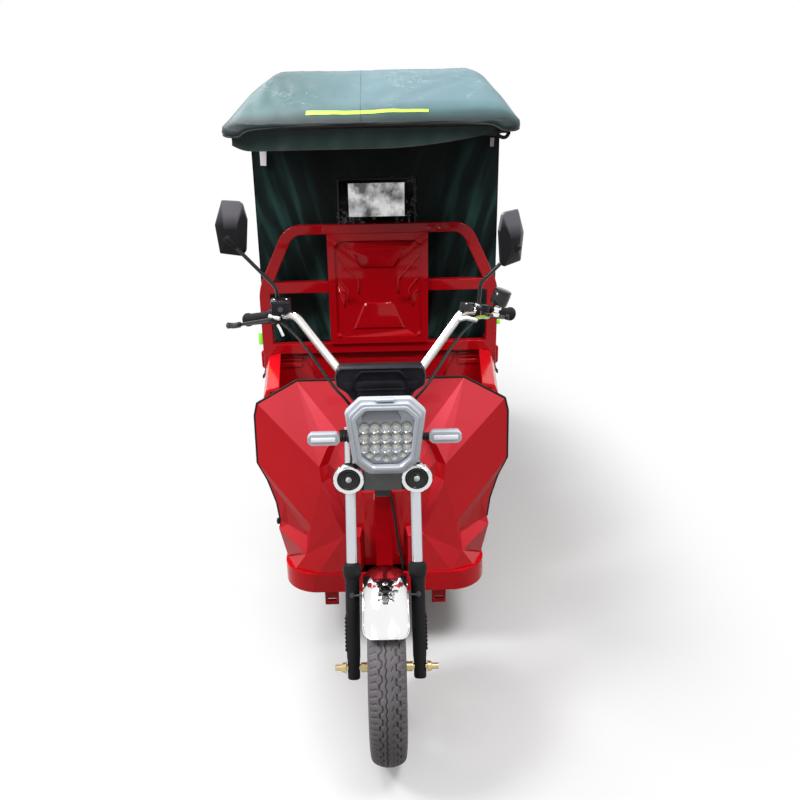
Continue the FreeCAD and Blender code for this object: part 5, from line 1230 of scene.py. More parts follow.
def along_box(name, centre, axis, lift, wide, tall, length, mat, body, bevel):
    """Rounded block that lies along an axis, with its tall side towards lift."""
    axis = Vector(axis).normalized()
    side = axis.cross(Vector(lift)).normalized()
    up = side.cross(axis)
    start = Vector(centre) - axis * length / 2
    square = ((-1, -1), (1, -1), (1, 1), (-1, 1))
    outline = [start + side * a * wide / 2 + up * b * tall / 2 for a, b in square]
    return prism(name, outline, axis * length, mat, body, bevel)


def make_bars(look):
    """Bright handlebar with clamps, ribbed grips, switch boxes, levers, reservoir and can."""
    points = [mirrored_point(p, -1) for p in (BAR_END, BAR_KNEE, BAR_FLAT)] + [BAR_FLAT, BAR_KNEE, BAR_END]
    bar = tube("handlebar_tube", bent(points, 0.06), 0.0125, M["bar"], STEER, 24)
    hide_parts("handlebar")
    dark = []
    bright = []
    silver = []
    upward = (0, 0, 1)

    def turned(parts, name, at, axis, profile, key, count):
        parts.append(lathe(name, at, axis, profile, M[key], STEER, count))

    def boxed(parts, name, at, axis, lift, sizes, key, bevel):
        parts.append(along_box(name, at, axis, lift, *sizes, M[key], STEER, bevel))

    for way in (-1, 1):
        aim = mirrored_point(GRIP_AIM, way)
        end = mirrored_point(BAR_END, way)
        profile = [(-0.125, 0.0135), (-0.125, 0.0235), (-0.121, 0.0240), (-0.118, 0.0175)]
        for k in range(GRIP_RIBS):
            at = -0.114 + k * 0.0055
            profile += [(at, 0.0168), (at + 0.0008, 0.0178), (at + 0.0028, 0.0178), (at + 0.0036, 0.0168)]
        profile += [(-0.002, 0.0205), (0.004, 0.0208), (0.0055, 0.0190), (0.006, 0.004)]
        turned(dark, "grip", end, aim, profile, "rubber", 36)
        box_mid = end - aim * SWITCH_BACK
        box_at = box_mid + Vector((0, -0.002, 0.002))
        boxed(dark, "switch_box", box_at, aim, upward, (0.044, 0.042, 0.040), "black", 0.007)
        switch_ring = [(0, 0.014), (0, 0.0185), (0.004, 0.0195), (0.008, 0.0185)]
        turned(dark, "switch_ring", box_mid - aim * 0.024, aim, switch_ring, "black", 32)
        root = box_mid + Vector((0, -0.0124, 0))
        elbow = box_mid + Vector((way * 0.0136, -0.0527, 0.004))
        reach = -0.020 if way > 0 else 0.016
        tip = end + Vector((way * reach, -0.062, 0.006 if way > 0 else 0.002))
        dark.append(tube("lever_stem", bent([root, elbow, tip], 0.014), 0.0052, M["black_paint"], STEER))
        collar = [(0, 0.0045), (0.002, 0.0082), (0.009, 0.0085), (0.012, 0.006)]
        turned(dark, "lever_collar", tip - aim * 0.006, (way, 0, 0), collar, "black_paint", 20)
        if way < 0:
            end_tip = end + Vector((way * 0.046, -0.062, 0.0))
            band = [(0, 0.0052), (0.001, 0.0078), (0.007, 0.0078), (0.008, 0.0052)]
            turned(silver, "lever_ring", tip, (-1, 0, 0), band, "brass", 24)
            near = tip.lerp(end_tip, 0.3) + Vector((0, 0, -0.001))
            far = tip.lerp(end_tip, 0.7) + Vector((0, 0, -0.002))
            silver.append(tube("lever_blade", [tip, near, far, end_tip], 0.0085, M["lever"], STEER))
            ball = [(-0.003, 0.0060), (0, 0.0092), (0.004, 0.0098), (0.008, 0.0076), (0.0105, 0.002)]
            turned(silver, "lever_ball", end_tip - Vector((0.002, 0, 0)), (-1, 0, 0), ball, "lever", 20)
        boxed(silver, "lever_perch", root, aim, upward, (0.026, 0.018, 0.026), "cast", 0.004)
        foot = mirrored_point(PERCH, way)
        clamp_at = foot + Vector((0, 0, 0.002))
        boxed(dark, "mirror_clamp", clamp_at, aim, upward, (0.036, 0.034, 0.024), "black_paint", 0.004)
        nut = [(0, 0.011), (0.009, 0.011), (0.011, 0.009), (0.014, 0.0075)]
        turned(bright, "mirror_nut", foot + Vector((0, 0, 0.012)), (0.04 * way, -0.15, 1), nut, "chrome", 6)
    for way in (-1, 1):
        start = Vector((way * 0.035, 0.268, 0.938))
        riser = (0.044, 0.046, 0.030)
        boxed(dark, "riser_clamp", start, (1, 0, 0), (0, -0.4, 0.9), riser, "black_paint", 0.005)
    dark.append(slab("reservoir", (-0.309, 0.458, 1.120), (-0.255, 0.498, 1.154), M["black"], STEER, 0.005))
    lid_low = (-0.310, 0.457, 1.151)
    dark.append(slab("reservoir_lid", lid_low, (-0.254, 0.499, 1.162), M["gloss_black"], STEER, 0.003))
    sight = [(0, 0.008), (0.001, 0.0078), (0.0015, 0.006), (0.0012, 0.0005)]
    turned(bright, "reservoir_sight", (-0.282, 0.458, 1.137), (0, -1, 0), sight, "lever", 24)
    screw = [(0, 0.0032), (0.0018, 0.003), (0.0024, 0.002)]
    for dx in (-0.018, 0.018):
        turned(bright, "lid_screw", (-0.282 + dx, 0.478, 1.161), upward, screw, "chrome", 12)
    choke_at = (0.252, 0.446, 1.136)
    boxed(dark, "choke_switch", choke_at, GRIP_AIM, upward, (0.030, 0.026, 0.036), "gloss_black", 0.005)
    can_at = Vector((0.336, 0.482, 1.098))
    fitting = [(0, 0.012), (0.010, 0.012), (0.012, 0.0085), (0.020, 0.0085), (0.021, 0.013), (0.028, 0.013)]
    fitting += [(0.030, 0.009), (0.036, 0.009)]
    turned(bright, "can_fitting", can_at, (0.24, 0, 0.97), fitting, "chrome", 6)
    can = [(0, 0.018), (0.002, 0.0235), (0.006, 0.0255), (0.036, 0.0258), (0.038, 0.0245), (0.040, 0.0258)]
    can += [(0.045, 0.0252), (0.047, 0.021), (0.0475, 0.002)]
    turned(dark, "can_body", can_at + Vector((0.008, 0, 0.032)), (0.34, 0, 0.94), can, "gloss_black", 40)
    dark_mesh = join("bar_grips_and_boxes", dark, STEER)
    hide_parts("bar_controls")
    join("bar_bright_parts", bright, STEER)
    join("bar_levers", silver, STEER)
    make_wiring()


def make_wiring():
    """White taped joints and thin coloured leads by both switch boxes."""
    wraps = (
        (
            0.0068,
            ((0.226, 0.424, 1.104), (0.246, 0.426, 1.110), (0.262, 0.434, 1.102), (0.278, 0.444, 1.096)),
        ),
        (
            0.0060,
            ((-0.318, 0.470, 1.116), (-0.308, 0.466, 1.112), (-0.298, 0.462, 1.112), (-0.286, 0.458, 1.110)),
        ),
        (
            0.0042,
            ((-0.292, 0.446, 1.096), (-0.286, 0.444, 1.086), (-0.282, 0.440, 1.078), (-0.276, 0.438, 1.064)),
        ),
    )
    rolls = []
    for index, (radius, points) in enumerate(wraps):
        rolls.append(tube("wrap_%d" % index, points, radius, M["white"], STEER))
    join("connector_wraps", rolls, STEER)
    lead = ((0.272, 0.440, 1.098), (0.292, 0.440, 1.104), (0.310, 0.452, 1.096), (0.326, 0.470, 1.100))
    leads = []
    for index, key in enumerate(("tag", "neon", "amber")):
        run = [(x, y, z + 0.004 * index) for x, y, z in lead] + [(0.334, 0.480, 1.112)]
        leads.append(tube("lead_%d" % index, run, 0.0013, M[key], STEER, 8))
    join("switch_leads", leads, STEER)


MIRROR_Y = 0.452
MIRROR_HALF = 0.047
MIRROR_TALL = 0.078
MIRROR_DEPTH = 0.026
MIRROR_OUTLINE = (
    (0.43, 1.0), (-0.6, 0.95), (-0.8, 0.85), (-1.0, 0.3), (-0.8, -0.8), (-0.53, -1.0), (0.8, -0.88),
    (0.96, 0.15),
)


def make_mirrors(look):
    """Faceted mirror housings on bent stems, glass towards the rider."""
    for way, turn, x, z in ((1, math.radians(34), 0.383, 1.325), (-1, 0.0, 0.404, 1.368)):
        spin = Matrix.Rotation(turn, 3, "Z")

        def world(px, py, pz):
            p = spin @ Vector((px, py, pz)) + Vector((x, MIRROR_Y, z))
            return mirrored_point(p, way)

        def ring(share, y):
            return [(px * MIRROR_HALF * share, y, pz * MIRROR_TALL * share) for px, pz in MIRROR_OUTLINE]

        corners = ring(1.0, MIRROR_DEPTH * 0.52) + ring(0.985, MIRROR_DEPTH * 0.94)
        corners += [
            (-0.45 * MIRROR_HALF, 0.0006, 0.12 * MIRROR_TALL),
            (0.42 * MIRROR_HALF, 0.0006, 0.02 * MIRROR_TALL),
        ]
        corners += [
            (-0.30 * MIRROR_HALF, 0.0012, -0.5 * MIRROR_TALL),
            (0.32 * MIRROR_HALF, 0.0012, -0.48 * MIRROR_TALL),
        ]
        bm = bmesh.new()
        for p in corners:
            bm.verts.new(world(*p))
        bmesh.ops.convex_hull(bm, input=bm.verts)
        bmesh.ops.dissolve_limit(bm, angle_limit=math.radians(1), verts=bm.verts, edges=bm.edges)
        mesh = bpy.data.meshes.new("mirror_shell")
        bm.to_mesh(mesh)
        bm.free()
        shell = add_object("mirror_shell", mesh)
        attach(shell, STEER)
        bevelled(shell, 0.0028, 3, 12.0, M["shell"], 24)
        foot = mirrored_point(PERCH, way)
        elbow = foot + Vector((way * 0.004, -0.014, 0.088))
        tip = world(MIRROR_HALF * 0.3, 0.002, -MIRROR_TALL * 0.3)
        stem = tube("mirror_stem", bent([foot, elbow, tip], 0.03), 0.0055, M["gloss_black"], STEER, 16)
        sleeve = [
            (-0.004, 0.008), (0, 0.0108), (0.004, 0.0112), (0.020, 0.0095), (0.036, 0.0072), (0.039, 0.0058),
        ]
        boot = lathe("mirror_boot", tip, elbow - tip, sleeve, M["rubber"], STEER, 28)
        whole = join("mirror_%d" % (way + 1), [shell, stem, boot], STEER)
        outline = rounded_outline([world(*p) for p in ring(0.9, MIRROR_DEPTH - 0.0028)], 0.008)
        push = (world(0, 1, 0) - world(0, 0, 0)) * 0.0026
        glass = prism("mirror_glass_%d" % (way + 1), outline, push, M["mirror"], STEER, 0.0006, 1)
        if way > 0:
            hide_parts("mirror_shells")
            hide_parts("mirror_faces")


CABLE_ROUTE = (
    (0.2360, 0.4220, 1.0780), (0.1318, 0.2920, 0.9580), (0.0900, 0.2560, 0.9300), (0.0428, 0.2260, 0.8630),
)


NECK_ROUTE = (
    (0.0220, 0.3520, 0.6000), (0.0360, 0.3600, 0.5000), (0.0430, 0.3640, 0.4200), (0.0550, 0.3700, 0.3500),
    (0.0580, 0.3920, 0.3010),
)


def free_cable(name, points, radius, body):
    """Cable that hangs free between two ends on the object."""
    cable = line_object(name, points, radius, 14, 3)
    cable.data.materials.append(M["wire"])
    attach(cable, body)
    return cable


def make_cables(look):
    """Control cables down both bars to the back of the lamp, and one down the neck."""
    grip_start = BAR_END - GRIP_AIM * SWITCH_BACK + Vector((0, 0, -0.012))
    route = [grip_start] + [Vector(p) for p in CABLE_ROUTE]
    strands = ((0.004, (0, 0, 0)), (0.0028, (0.007, -0.008, 0.012)), (0.0028, (-0.009, 0.006, -0.013)))
    for way, side in ((1, "left"), (-1, "right")):
        for index, (radius, shift) in enumerate(strands):
            points = [mirrored_point(p + Vector(shift), way) for p in route]
            cable = free_cable("bar_cable_%s_%d" % (side, index), points, radius, STEER)
            if index == 0 and way > 0:
                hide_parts("control_cables")
    free_cable("neck_cable", NECK_ROUTE, 0.0042, ROOT)


# Red sheet metal


# Panels under the canopy take the darker copy of the red paint: painted shade.
PANELS = (
    ("front_shield", 0.0035, "shield"),
    ("floor_pan", 0.003, "red"),
    ("side_guards", 0.0035, "red"),
    ("box_front_wall", 0.0015, "shaded_red"),
    ("arch_frame", 0.003, "shaded_red"),
    ("seat_box", 0.002, "shaded_red"),
    ("box_side_left", 0.0022, "red"),
    ("box_side_right", 0.0022, "red"),
    ("tailgate", 0.0018, "red"),
    ("chassis_frame", 0.0025, "red"),
    ("cargo_floor", 0.0018, "red"),
)
BACKREST_FACE = 1.2045
BACK_BOLTS = (
    ("back_bolt", 0.155, 0.838, 0.005, 0.0035),
    ("back_bolt", 0.155, 1.194, 0.005, 0.0035),
    ("back_side_bolt", 0.180, 1.055, 0.004, 0.003),
)
HOOK_START = 1.36
HOOK_PITCH = 0.27
ROPE_HOOK = (
    (0.474, 0.0, 0.640), (0.484, 0.0, 0.634), (0.486, 0.0, 0.618), (0.486, 0.03, 0.612), (0.486, 0.06, 0.618),
    (0.484, 0.06, 0.634), (0.474, 0.06, 0.640),
)


def make_body(look):
    """Rounded copies of the pressed panels, frame and box, with bolts and hooks."""
    for node, width, key in PANELS:
        panel = softened(node, width, M[key], 2, 5.0 if key == "shield" else 32.0)
    # The backrest also takes the darker copy of the red: painted shade.
    smoothed("backrest_panel", M["shaded_red"], 14.0)
    dress("shield_trim", M["rubber"])
    dress("battery_block", M["battery"])
    dress("axle_housing", M["black_paint"])
    dress("canopy_frame", M["black_paint"])
    dress("tail_lamps", M["red_lens"])
    bolts = []
    hooks = []
    for way in (-1, 1):
        for name, x, z, radius, height in BACK_BOLTS:
            at = (way * x, BACKREST_FACE, z)
            bolts.append(bolt_head(name, at, (0, -1, 0), radius, height, M["red"], ROOT))
        for k in range(5):
            hook = [(way * x, HOOK_START + k * HOOK_PITCH + y, z) for x, y, z in ROPE_HOOK]
            hooks.append(tube("rope_hook", hook, 0.003, M["black_paint"], ROOT, 8))
    join("panel_bolts", bolts, ROOT)
    join("rope_hooks", hooks, ROOT)
    bumper = [(0, 0.004), (0.004, 0.0045), (0.006, 0.0095), (0.011, 0.0105), (0.014, 0.009), (0.0155, 0.004)]
    lathe("bump_stop", (-0.326, 0.478, 0.440), (-1, 0, 0), bumper, M["rubber"], ROOT, 28)
    tags = [
        slab("neon_tag_a", (-0.4725, 1.236, 0.800), (-0.458, 1.242, 0.846), M["neon"], ROOT, 0.001),
        slab("neon_tag_b", (0.458, 1.236, 0.862), (0.470, 1.242, 0.880), M["neon"], ROOT, 0.001),
    ]
    join("neon_tags", tags, ROOT)


# Canopy, curtains, panes and cushions


def soft_min(a, b, k):
    h = max(k - abs(a - b), 0.0) / k
    return min(a, b) - h * h * k * 0.25


ROOF_LOW, ROOF_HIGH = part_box("canopy_roof")
SIDE_RUN = 0.12
FRONT_RUN = 0.375
BACK_RUN = 0.185
HEM_LIFT = 0.032
EAVE = ROOF_LOW.z + 0.080
HEM_STEPS = 6
SEAM_X = -0.045
SEAM_YS = (0.890, 0.93, 0.98, 1.04, 1.10, 1.17, 1.24, 1.32, 1.5, 1.8, 2.1, 2.35)
STRAPS = (
    (
        "tie_strap", 0.0075,
        ((0.345, 0.925, 1.586), (0.375, 0.915, 1.580), (0.405, 0.920, 1.592), (0.430, 0.935, 1.588)),
    ),
    (
        "tie_strap_end", 0.006,
        ((0.385, 0.925, 1.584), (0.402, 0.918, 1.570), (0.424, 0.922, 1.568), (0.432, 0.935, 1.584)),
    ),
)


def unit(value):
    """Value held between 0 and 1."""
    return max(0.0, min(1.0, value))


def roof_half(y):
    """Half width of the roof's rounded plan outline at y."""
    radius = 0.06
    lead = min(y - ROOF_LOW.y, ROOF_HIGH.y - y)
    if lead >= radius:
        return ROOF_HIGH.x
    lead = max(lead, 0.0)
    return ROOF_HIGH.x - radius + math.sqrt(radius ** 2 - (radius - lead) ** 2)


def skew(x, y):
    """How far the cloth is pulled to one side: left at the front hem, right at the crest."""
    hem = unit((1.25 - y) / 0.34) ** 1.2
    crest = max(0.0, 1 - abs(y - 1.28) / 0.30) * max(0.0, 1 - abs(x) / 0.60)
    return -0.013 * hem + 0.010 * crest


def roof_height(x, y):
    """Height of the taut cloth over the hoops, with its sags and creases."""
    side = (roof_half(y) - abs(x)) / SIDE_RUN
    front = (y - ROOF_LOW.y) / FRONT_RUN
    back = (ROOF_HIGH.y - y) / BACK_RUN
    rise = soft_min(soft_min(soft_min(front, back, 0.25), side, 0.34), 1.0, 0.24)
    z = EAVE + (ROOF_HIGH.z - EAVE + 0.004) * rise
    z += 0.010 * math.sin(unit(front) * math.pi) * min(1.0, side)
    span = math.sin(unit((y - 1.30) / 1.10) * math.pi * 3)
    z -= 0.003 * span * span * unit((rise - 0.8) * 5)
    wrinkle = noise.noise(Vector((x * 5.0, y * 14.0, 0.3))) * 0.0035
    wrinkle += noise.noise(Vector((x * 22.0, y * 9.0, 4.0))) * 0.0016
    pull = abs(math.sin(
        math.atan2(y - 1.26, abs(x) - 0.36) * 9 + noise.noise(Vector((x * 3, y * 3, 9.0))) * 3
    ))
    wrinkle += 0.0030 * pull * max(0.0, 1 - abs(rise - 0.5) * 1.6)
    return z + (wrinkle + 0.0015) * min(1.0, side * 2, front * 8 + 0.2)


def hem_drop(x, y):
    """How far the hem hangs below the eave: rolled short along the front, full at the corners."""
    middle = max(0.0, 1 - (abs(x) / 0.44) ** 4)
    front = unit((0.99 - y) / 0.06)
    return HEM_LIFT * (0.72 + 0.20 * unit((y - 1.1) / 0.3) - 0.54 * middle * front)


def make_canopy(look):
    """One stretched sheet for the roof with rolled hem, the inner flap, tape and tags."""
    rows = 130
    cols = 72
    grid = []
    early = math.pi * 0.06
    wide = math.pi / 2 * 0.86
    for j in range(rows + 1):
        place = math.cos(early) - math.cos(early + math.pi * 0.88 * j / rows)
        y = ROOF_LOW.y + (ROOF_HIGH.y - ROOF_LOW.y) * 0.5 * place / math.cos(early)
        w = roof_half(y)
        row = []
        for i in range(cols + 1):
            x = w * math.sin((-1 + 2 * i / cols) * wide) / math.sin(wide)
            row.append(Vector((x + skew(x, y), y, roof_height(x, y))))
        grid.append(row)
    verts, faces = grid_mesh(grid)
    n = cols + 1
    loop = list(range(n)) + [j * n + cols for j in range(1, rows)]
    loop += [rows * n + i for i in range(cols, -1, -1)] + [j * n for j in range(rows - 1, 0, -1)]
    centre_y = (ROOF_LOW.y + ROOF_HIGH.y) / 2
    previous = loop
    m = len(loop)
    for step in range(1, HEM_STEPS + 1):
        share = step / HEM_STEPS
        ring = list(range(len(verts), len(verts) + m))
        for k, index in enumerate(loop):
            p = verts[index]
            out = Vector((p.x, (p.y - centre_y) * 0.5, 0)).normalized()
            wave = 0.0025 * math.sin(k * 0.35) * share
            wave += 0.002 * noise.noise(Vector((p.x * 8, p.y * 8, share * 3)))
            tuck = 0.004 * math.sin(share * math.pi * 0.5) - 0.014 * max(0.0, share - 0.45) ** 1.5
            verts.append(Vector((p.x, p.y, p.z - hem_drop(p.x, p.y) * share)) + out * (wave + tuck))
        for k in range(m):
            faces.append([previous[k], ring[k], ring[(k + 1) % m], previous[(k + 1) % m]])
        previous = ring
    hem_line = verts[-m:]
    roof = piece("canopy_cloth", verts, faces, M["roof"], ROOT, 60)
    piping = tube("canopy_piping", hem_line[::2] + [hem_line[0]], 0.0032, M["piping"], ROOT, 10)
    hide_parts("canopy_roof")
    seam = [Vector((SEAM_X, y, roof_height(SEAM_X, y) + 0.0015)) for y in SEAM_YS]
    tube("canopy_seam", seam, 0.0009, M["roof"], ROOT, 6)
    make_flap()
    tape = []
    for i in range(33):
        t = i / 32
        x = -0.207 + 0.392 * t
        near = 0.925 + 0.004 * t
        wide = 0.023 - 0.008 * t
        ys = (near, near + wide * 0.5, near + wide)
        tape.append([Vector((x + skew(x, y), y, roof_height(x, y) + 0.0014)) for y in ys])
    piece("canopy_tape", *grid_mesh(tape), M["tape"], ROOT, 60)
    ends = [tube(name, points, radius, M["rubber"], ROOT, 10) for name, radius, points in STRAPS]
    join("canopy_ties", ends, ROOT)


def make_flap():
    """Inner flap that shows below the front hem, lowest on the left."""
    grid = []
    for j in range(11):
        share = j / 10
        row = []
        for i in range(81):
            s = -1 + 2 * i / 80
            x = s * 0.446 - 0.012
            left = max(0.0, (-s - 0.86) / 0.14) ** 2
            right = max(0.0, (s - 0.10) / 0.90) ** 1.7
            low = ROOF_LOW.z + 0.020 * left + 0.052 * right
            high = EAVE - hem_drop(x, ROOF_LOW.y) + 0.010
            y = ROOF_LOW.y + 0.014 + 0.014 * math.sin(share * math.pi * 0.6)
            y += (0.003 * math.sin(s * 34) + 0.004 * noise.noise(Vector((s * 6, share, 2.0)))) * share
            row.append(Vector((x, y, high + (low - high) * share)))
        grid.append(row)
    flap = piece("canopy_front_flap", *grid_mesh(grid), M["canvas"], ROOT, 60)
    flap_bead = tube("flap_bead", grid[-1][::2], 0.0018, M["piping"], ROOT, 8)


def even_steps(low, high, count, extra):
    """Rounded values from low to high in even steps, and the extra ones, in order."""
    return sorted({round(low + (high - low) * i / count, 5) for i in range(count + 1)} | set(extra))


def curtain_sheet(name, half, y, low, top, hole, mat, phase):
    """Hung cloth across the box with soft upright folds and a window hole."""
    cols = even_steps(-half, half, 90, (-hole[0], hole[0]) if hole else ())
    rows = even_steps(low, top, 60, hole[1:] if hole else ())
    verts = []
    for z in rows:
        for x in cols:
            down = (top - z) / (top - low)
            slant = x + math.copysign(0.28, x) * (1.5 - z) * min(1.0, abs(x) * 4)
            fold = math.sin(slant * 27 + phase + 1.3 * math.sin(x * 5 + phase)) * 0.010
            fold += math.sin(slant * 58 + phase * 2 + z * 3) * 0.0035
            fold += noise.noise(Vector((slant * 5, z * 4, phase))) * 0.008
            pinch = min(1.0, (half - abs(x)) / 0.11) * min(1.0, (z - low) / 0.02 + 0.4)
            if hole:
                gap = max(abs(x) - hole[0], hole[1] - z, z - hole[2])
                pinch *= min(1.0, max(0.0, gap) / 0.08 + 0.1)
            verts.append(Vector((x, y + fold * (0.35 + 0.65 * down) * pinch, z)))
    n = len(cols)
    faces = []
    for j in range(len(rows) - 1):
        for i in range(n - 1):
            x = (cols[i] + cols[i + 1]) / 2
            z = (rows[j] + rows[j + 1]) / 2
            if hole and abs(x) < hole[0] and hole[1] < z < hole[2]:
                continue
            a = j * n + i
            faces.append([a, a + 1, a + n + 1, a + n])
    return piece(name, verts, faces, mat, ROOT, 60)


FRONT_WINDOW = (0.143, 1.240, 1.414)
REAR_WINDOW = (0.150, 1.104, 1.282)


def window_pane(half, low, top, y, seed, mat):
    """Clear sheet that bulges and ripples inside its stitched frame."""
    lap = 0.008
    grid = []
    for j in range(37):
        row = []
        for i in range(49):
            x = -half - lap + 2 * (half + lap) * i / 48
            z = low - lap + (top - low + 2 * lap) * j / 36
            rim = min(half + lap - abs(x), z - low + lap, top + lap - z)
            bulge = noise.noise(Vector((x * 9, z * 7, seed))) * 0.006
            bulge += noise.noise(Vector((x * 26, z * 16, seed + 3))) * 0.0022
            row.append(Vector((x, y + bulge * unit(rim / 0.04), z)))
        grid.append(row)
    return piece("window_pane", *grid_mesh(grid), mat, ROOT, 60)


def make_curtains(look):
    """Front, rear and side cloths, the two clear panes with stitched frames, and small tags."""
    front_low, front_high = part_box("curtain_front")
    rear_low, rear_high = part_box("curtain_rear")
    side_low, side_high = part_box("side_curtains")
    front_y = (front_low.y + front_high.y) / 2
    rear_y = (rear_low.y + rear_high.y) / 2
    half = front_high.x
    front_foot = front_low.z - look.curtain_drop
    front = curtain_sheet(
        "front_curtain", half, front_y, front_foot, front_high.z, FRONT_WINDOW, M["curtain"], 0.4,
    )
    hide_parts("curtain_front")
    rear = curtain_sheet("rear_curtain", half, rear_y, rear_low.z, rear_high.z, REAR_WINDOW, M["canvas"], 2.1)
    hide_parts("curtain_rear")
    length = side_high.y - side_low.y
    middle = (side_low.y + side_high.y) / 2
    foot = side_low.z + 0.004
    for way, side in ((-1, "right"), (1, "left")):
        name = "side_curtain_" + side
        cloth = curtain_sheet(name, length / 2 - 0.004, 0.0, foot, side_high.z, None, M["canvas"], 3.0 + way)
        for vert in cloth.data.vertices:
            along, bulge, z = vert.co
            vert.co = Vector((way * (0.456 + bulge * 0.8), middle + along * way, z))
        if way < 0:
            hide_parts("side_curtains")
    panes = []
    for y, window, seed, key in (
        (front_y, FRONT_WINDOW, 1.0, "pane"), (rear_y, REAR_WINDOW, 5.0, "rear_pane"),
    ):
        panes.append(window_pane(*window, y - 0.001, seed, M[key]))
        half, low, top = window
        square = ((-half, low), (half, low), (half, top), (-half, top))
        corners = [Vector((x, y - 0.004, z)) for x, z in square]
        frame_line = [corners[0]]
        for a, b in zip(corners, corners[1:] + corners[:1]):
            frame_line += [a.lerp(b, 0.03), a.lerp(b, 0.5), a.lerp(b, 0.97), b]
        tube("pane_edging_%d" % len(panes), frame_line, 0.0035, M["piping"], ROOT, 8)
    pane = join("window_panes", panes, ROOT)
    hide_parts("curtain_windows")
    tags = []
    for x, z, half_w, half_t in ((-0.4110, 1.498, 0.013, 0.026), (0.4270, 1.536, 0.008, 0.015)):
        shape = ((-1, -1), (0.7, -1.1), (1, 1), (-0.9, 1))
        outline = [Vector((x + half_w * a, front_y - 0.016, z + half_t * b)) for a, b in shape]
        tags.append(prism("cloth_tag", outline, (0, 0.0015, 0), M["tag"], ROOT, 0.0004, 1))
    join("cloth_tags", tags, ROOT)


def pillow(name, low, high, crown, mat, body, seams=0):
    """Closed padded form with a crowned top, soft corners and stitched channels."""
    cx, cy = (low[0] + high[0]) / 2, (low[1] + high[1]) / 2
    hx, hy = (high[0] - low[0]) / 2, (high[1] - low[1]) / 2
    tall = high[2] - low[2]
    squareness = 0.22
    count = 96

    def outline(share, z):
        ring = []
        for k in range(count):
            a = 2 * math.pi * k / count
            c, s = math.cos(a), math.sin(a)
            x = math.copysign(abs(c) ** squareness, c) * hx
            y = math.copysign(abs(s) ** squareness, s) * hy
            ring.append(Vector((cx + x * share, cy + y * share, z)))
        return ring

    skirt = tall - crown
    shoulder = skirt * 0.75
    levels = [(0.965, 0.0), (0.99, 0.003), (1.0, skirt * 0.3), (1.0, shoulder)]
    for k in range(1, 13):
        share = k / 12
        rise = (tall - shoulder) * (1 - (1 - share) ** 3.2) ** 0.9
        levels.append((1 - share ** 1.6 * 0.999, shoulder + rise))
    verts, faces = rings_mesh([outline(share, low[2] + up) for share, up in levels])
    for v in verts:
        lift = max(0.0, (v.z - low[2]) / tall - 0.5) * 2
        v.z += noise.noise(Vector((v.x * 9, v.y * 9, 2.0))) * 0.003 * lift
        if seams:
            t = (v.y - low[1]) / (2 * hy) * seams
            v.z -= 0.007 * math.exp(-((t - round(t)) / 0.09) ** 2) * lift
        v.z = min(v.z, high[2] + 0.002)
    return piece(name, verts, faces, mat, body, 50)


def make_cushions(look):
    """Driver's saddle pad with its hinge, and the two bench pads."""
    low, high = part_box("seat_cushion")
    base = 0.5786
    pad = pillow("driver_pad", (low.x, 0.848, base), high, 0.03, M["seat"], "seat_body")
    hinge = []
    knuckle = [(0, 0.0059), (0.06, 0.0059)]
    for start in (0.110, -0.170):
        pin_at = (start, 0.852, 0.571)
        hinge.append(lathe("seat_knuckle", pin_at, (1, 0, 0), knuckle, M["zinc"], "seat_body", 24))
        leaf_low = (start, 0.850, 0.571)
        leaf_high = (start + 0.06, 0.854, base + 0.004)
        hinge.append(slab("seat_leaf", leaf_low, leaf_high, M["zinc"], "seat_body", 0.0008))
    join("seat_hinge_leaves", hinge, "seat_body")
    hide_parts("seat_cushion")
    low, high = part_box("bench_cushions")
    inner = 0.265
    for way, side in ((-1, "right"), (1, "left")):
        a, b = sorted((way * inner, way * high.x))
        bench_low = (a, low.y, low.z + 0.0005)
        bench = pillow("bench_pad_" + side, bench_low, (b, high.y, high.z), 0.02, M["seat"], ROOT, seams=6)
        if way > 0:
            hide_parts("bench_cushions")


# Camera, floor and light


def make_camera(look):
    """Eye-level view from straight ahead, a little above the roof and tipped down."""
    data = bpy.data.cameras.new("Camera")
    camera = add_object("Camera", data)
    data.sensor_width = 36.0
    data.lens = look.lens
    data.shift_x = look.shift_x
    data.shift_y = look.shift_y
    data.clip_start = 0.05
    pitch = look.pitch
    roll = look.roll
    forward = Vector((0, math.cos(pitch), -math.sin(pitch)))
    level_right = Vector((1, 0, 0))
    level_up = level_right.cross(forward)
    right = level_right * math.cos(roll) - level_up * math.sin(roll)
    up = level_right * math.sin(roll) + level_up * math.cos(roll)
    turn = Matrix((right, up, -forward)).transposed()
    camera.matrix_world = Matrix.Translation(Vector(look.eye)) @ turn.to_4x4()
    bpy.context.scene.camera = camera


SWEEP_START = 7.0
SWEEP = 3.0
WALL_SIZE = 12.0


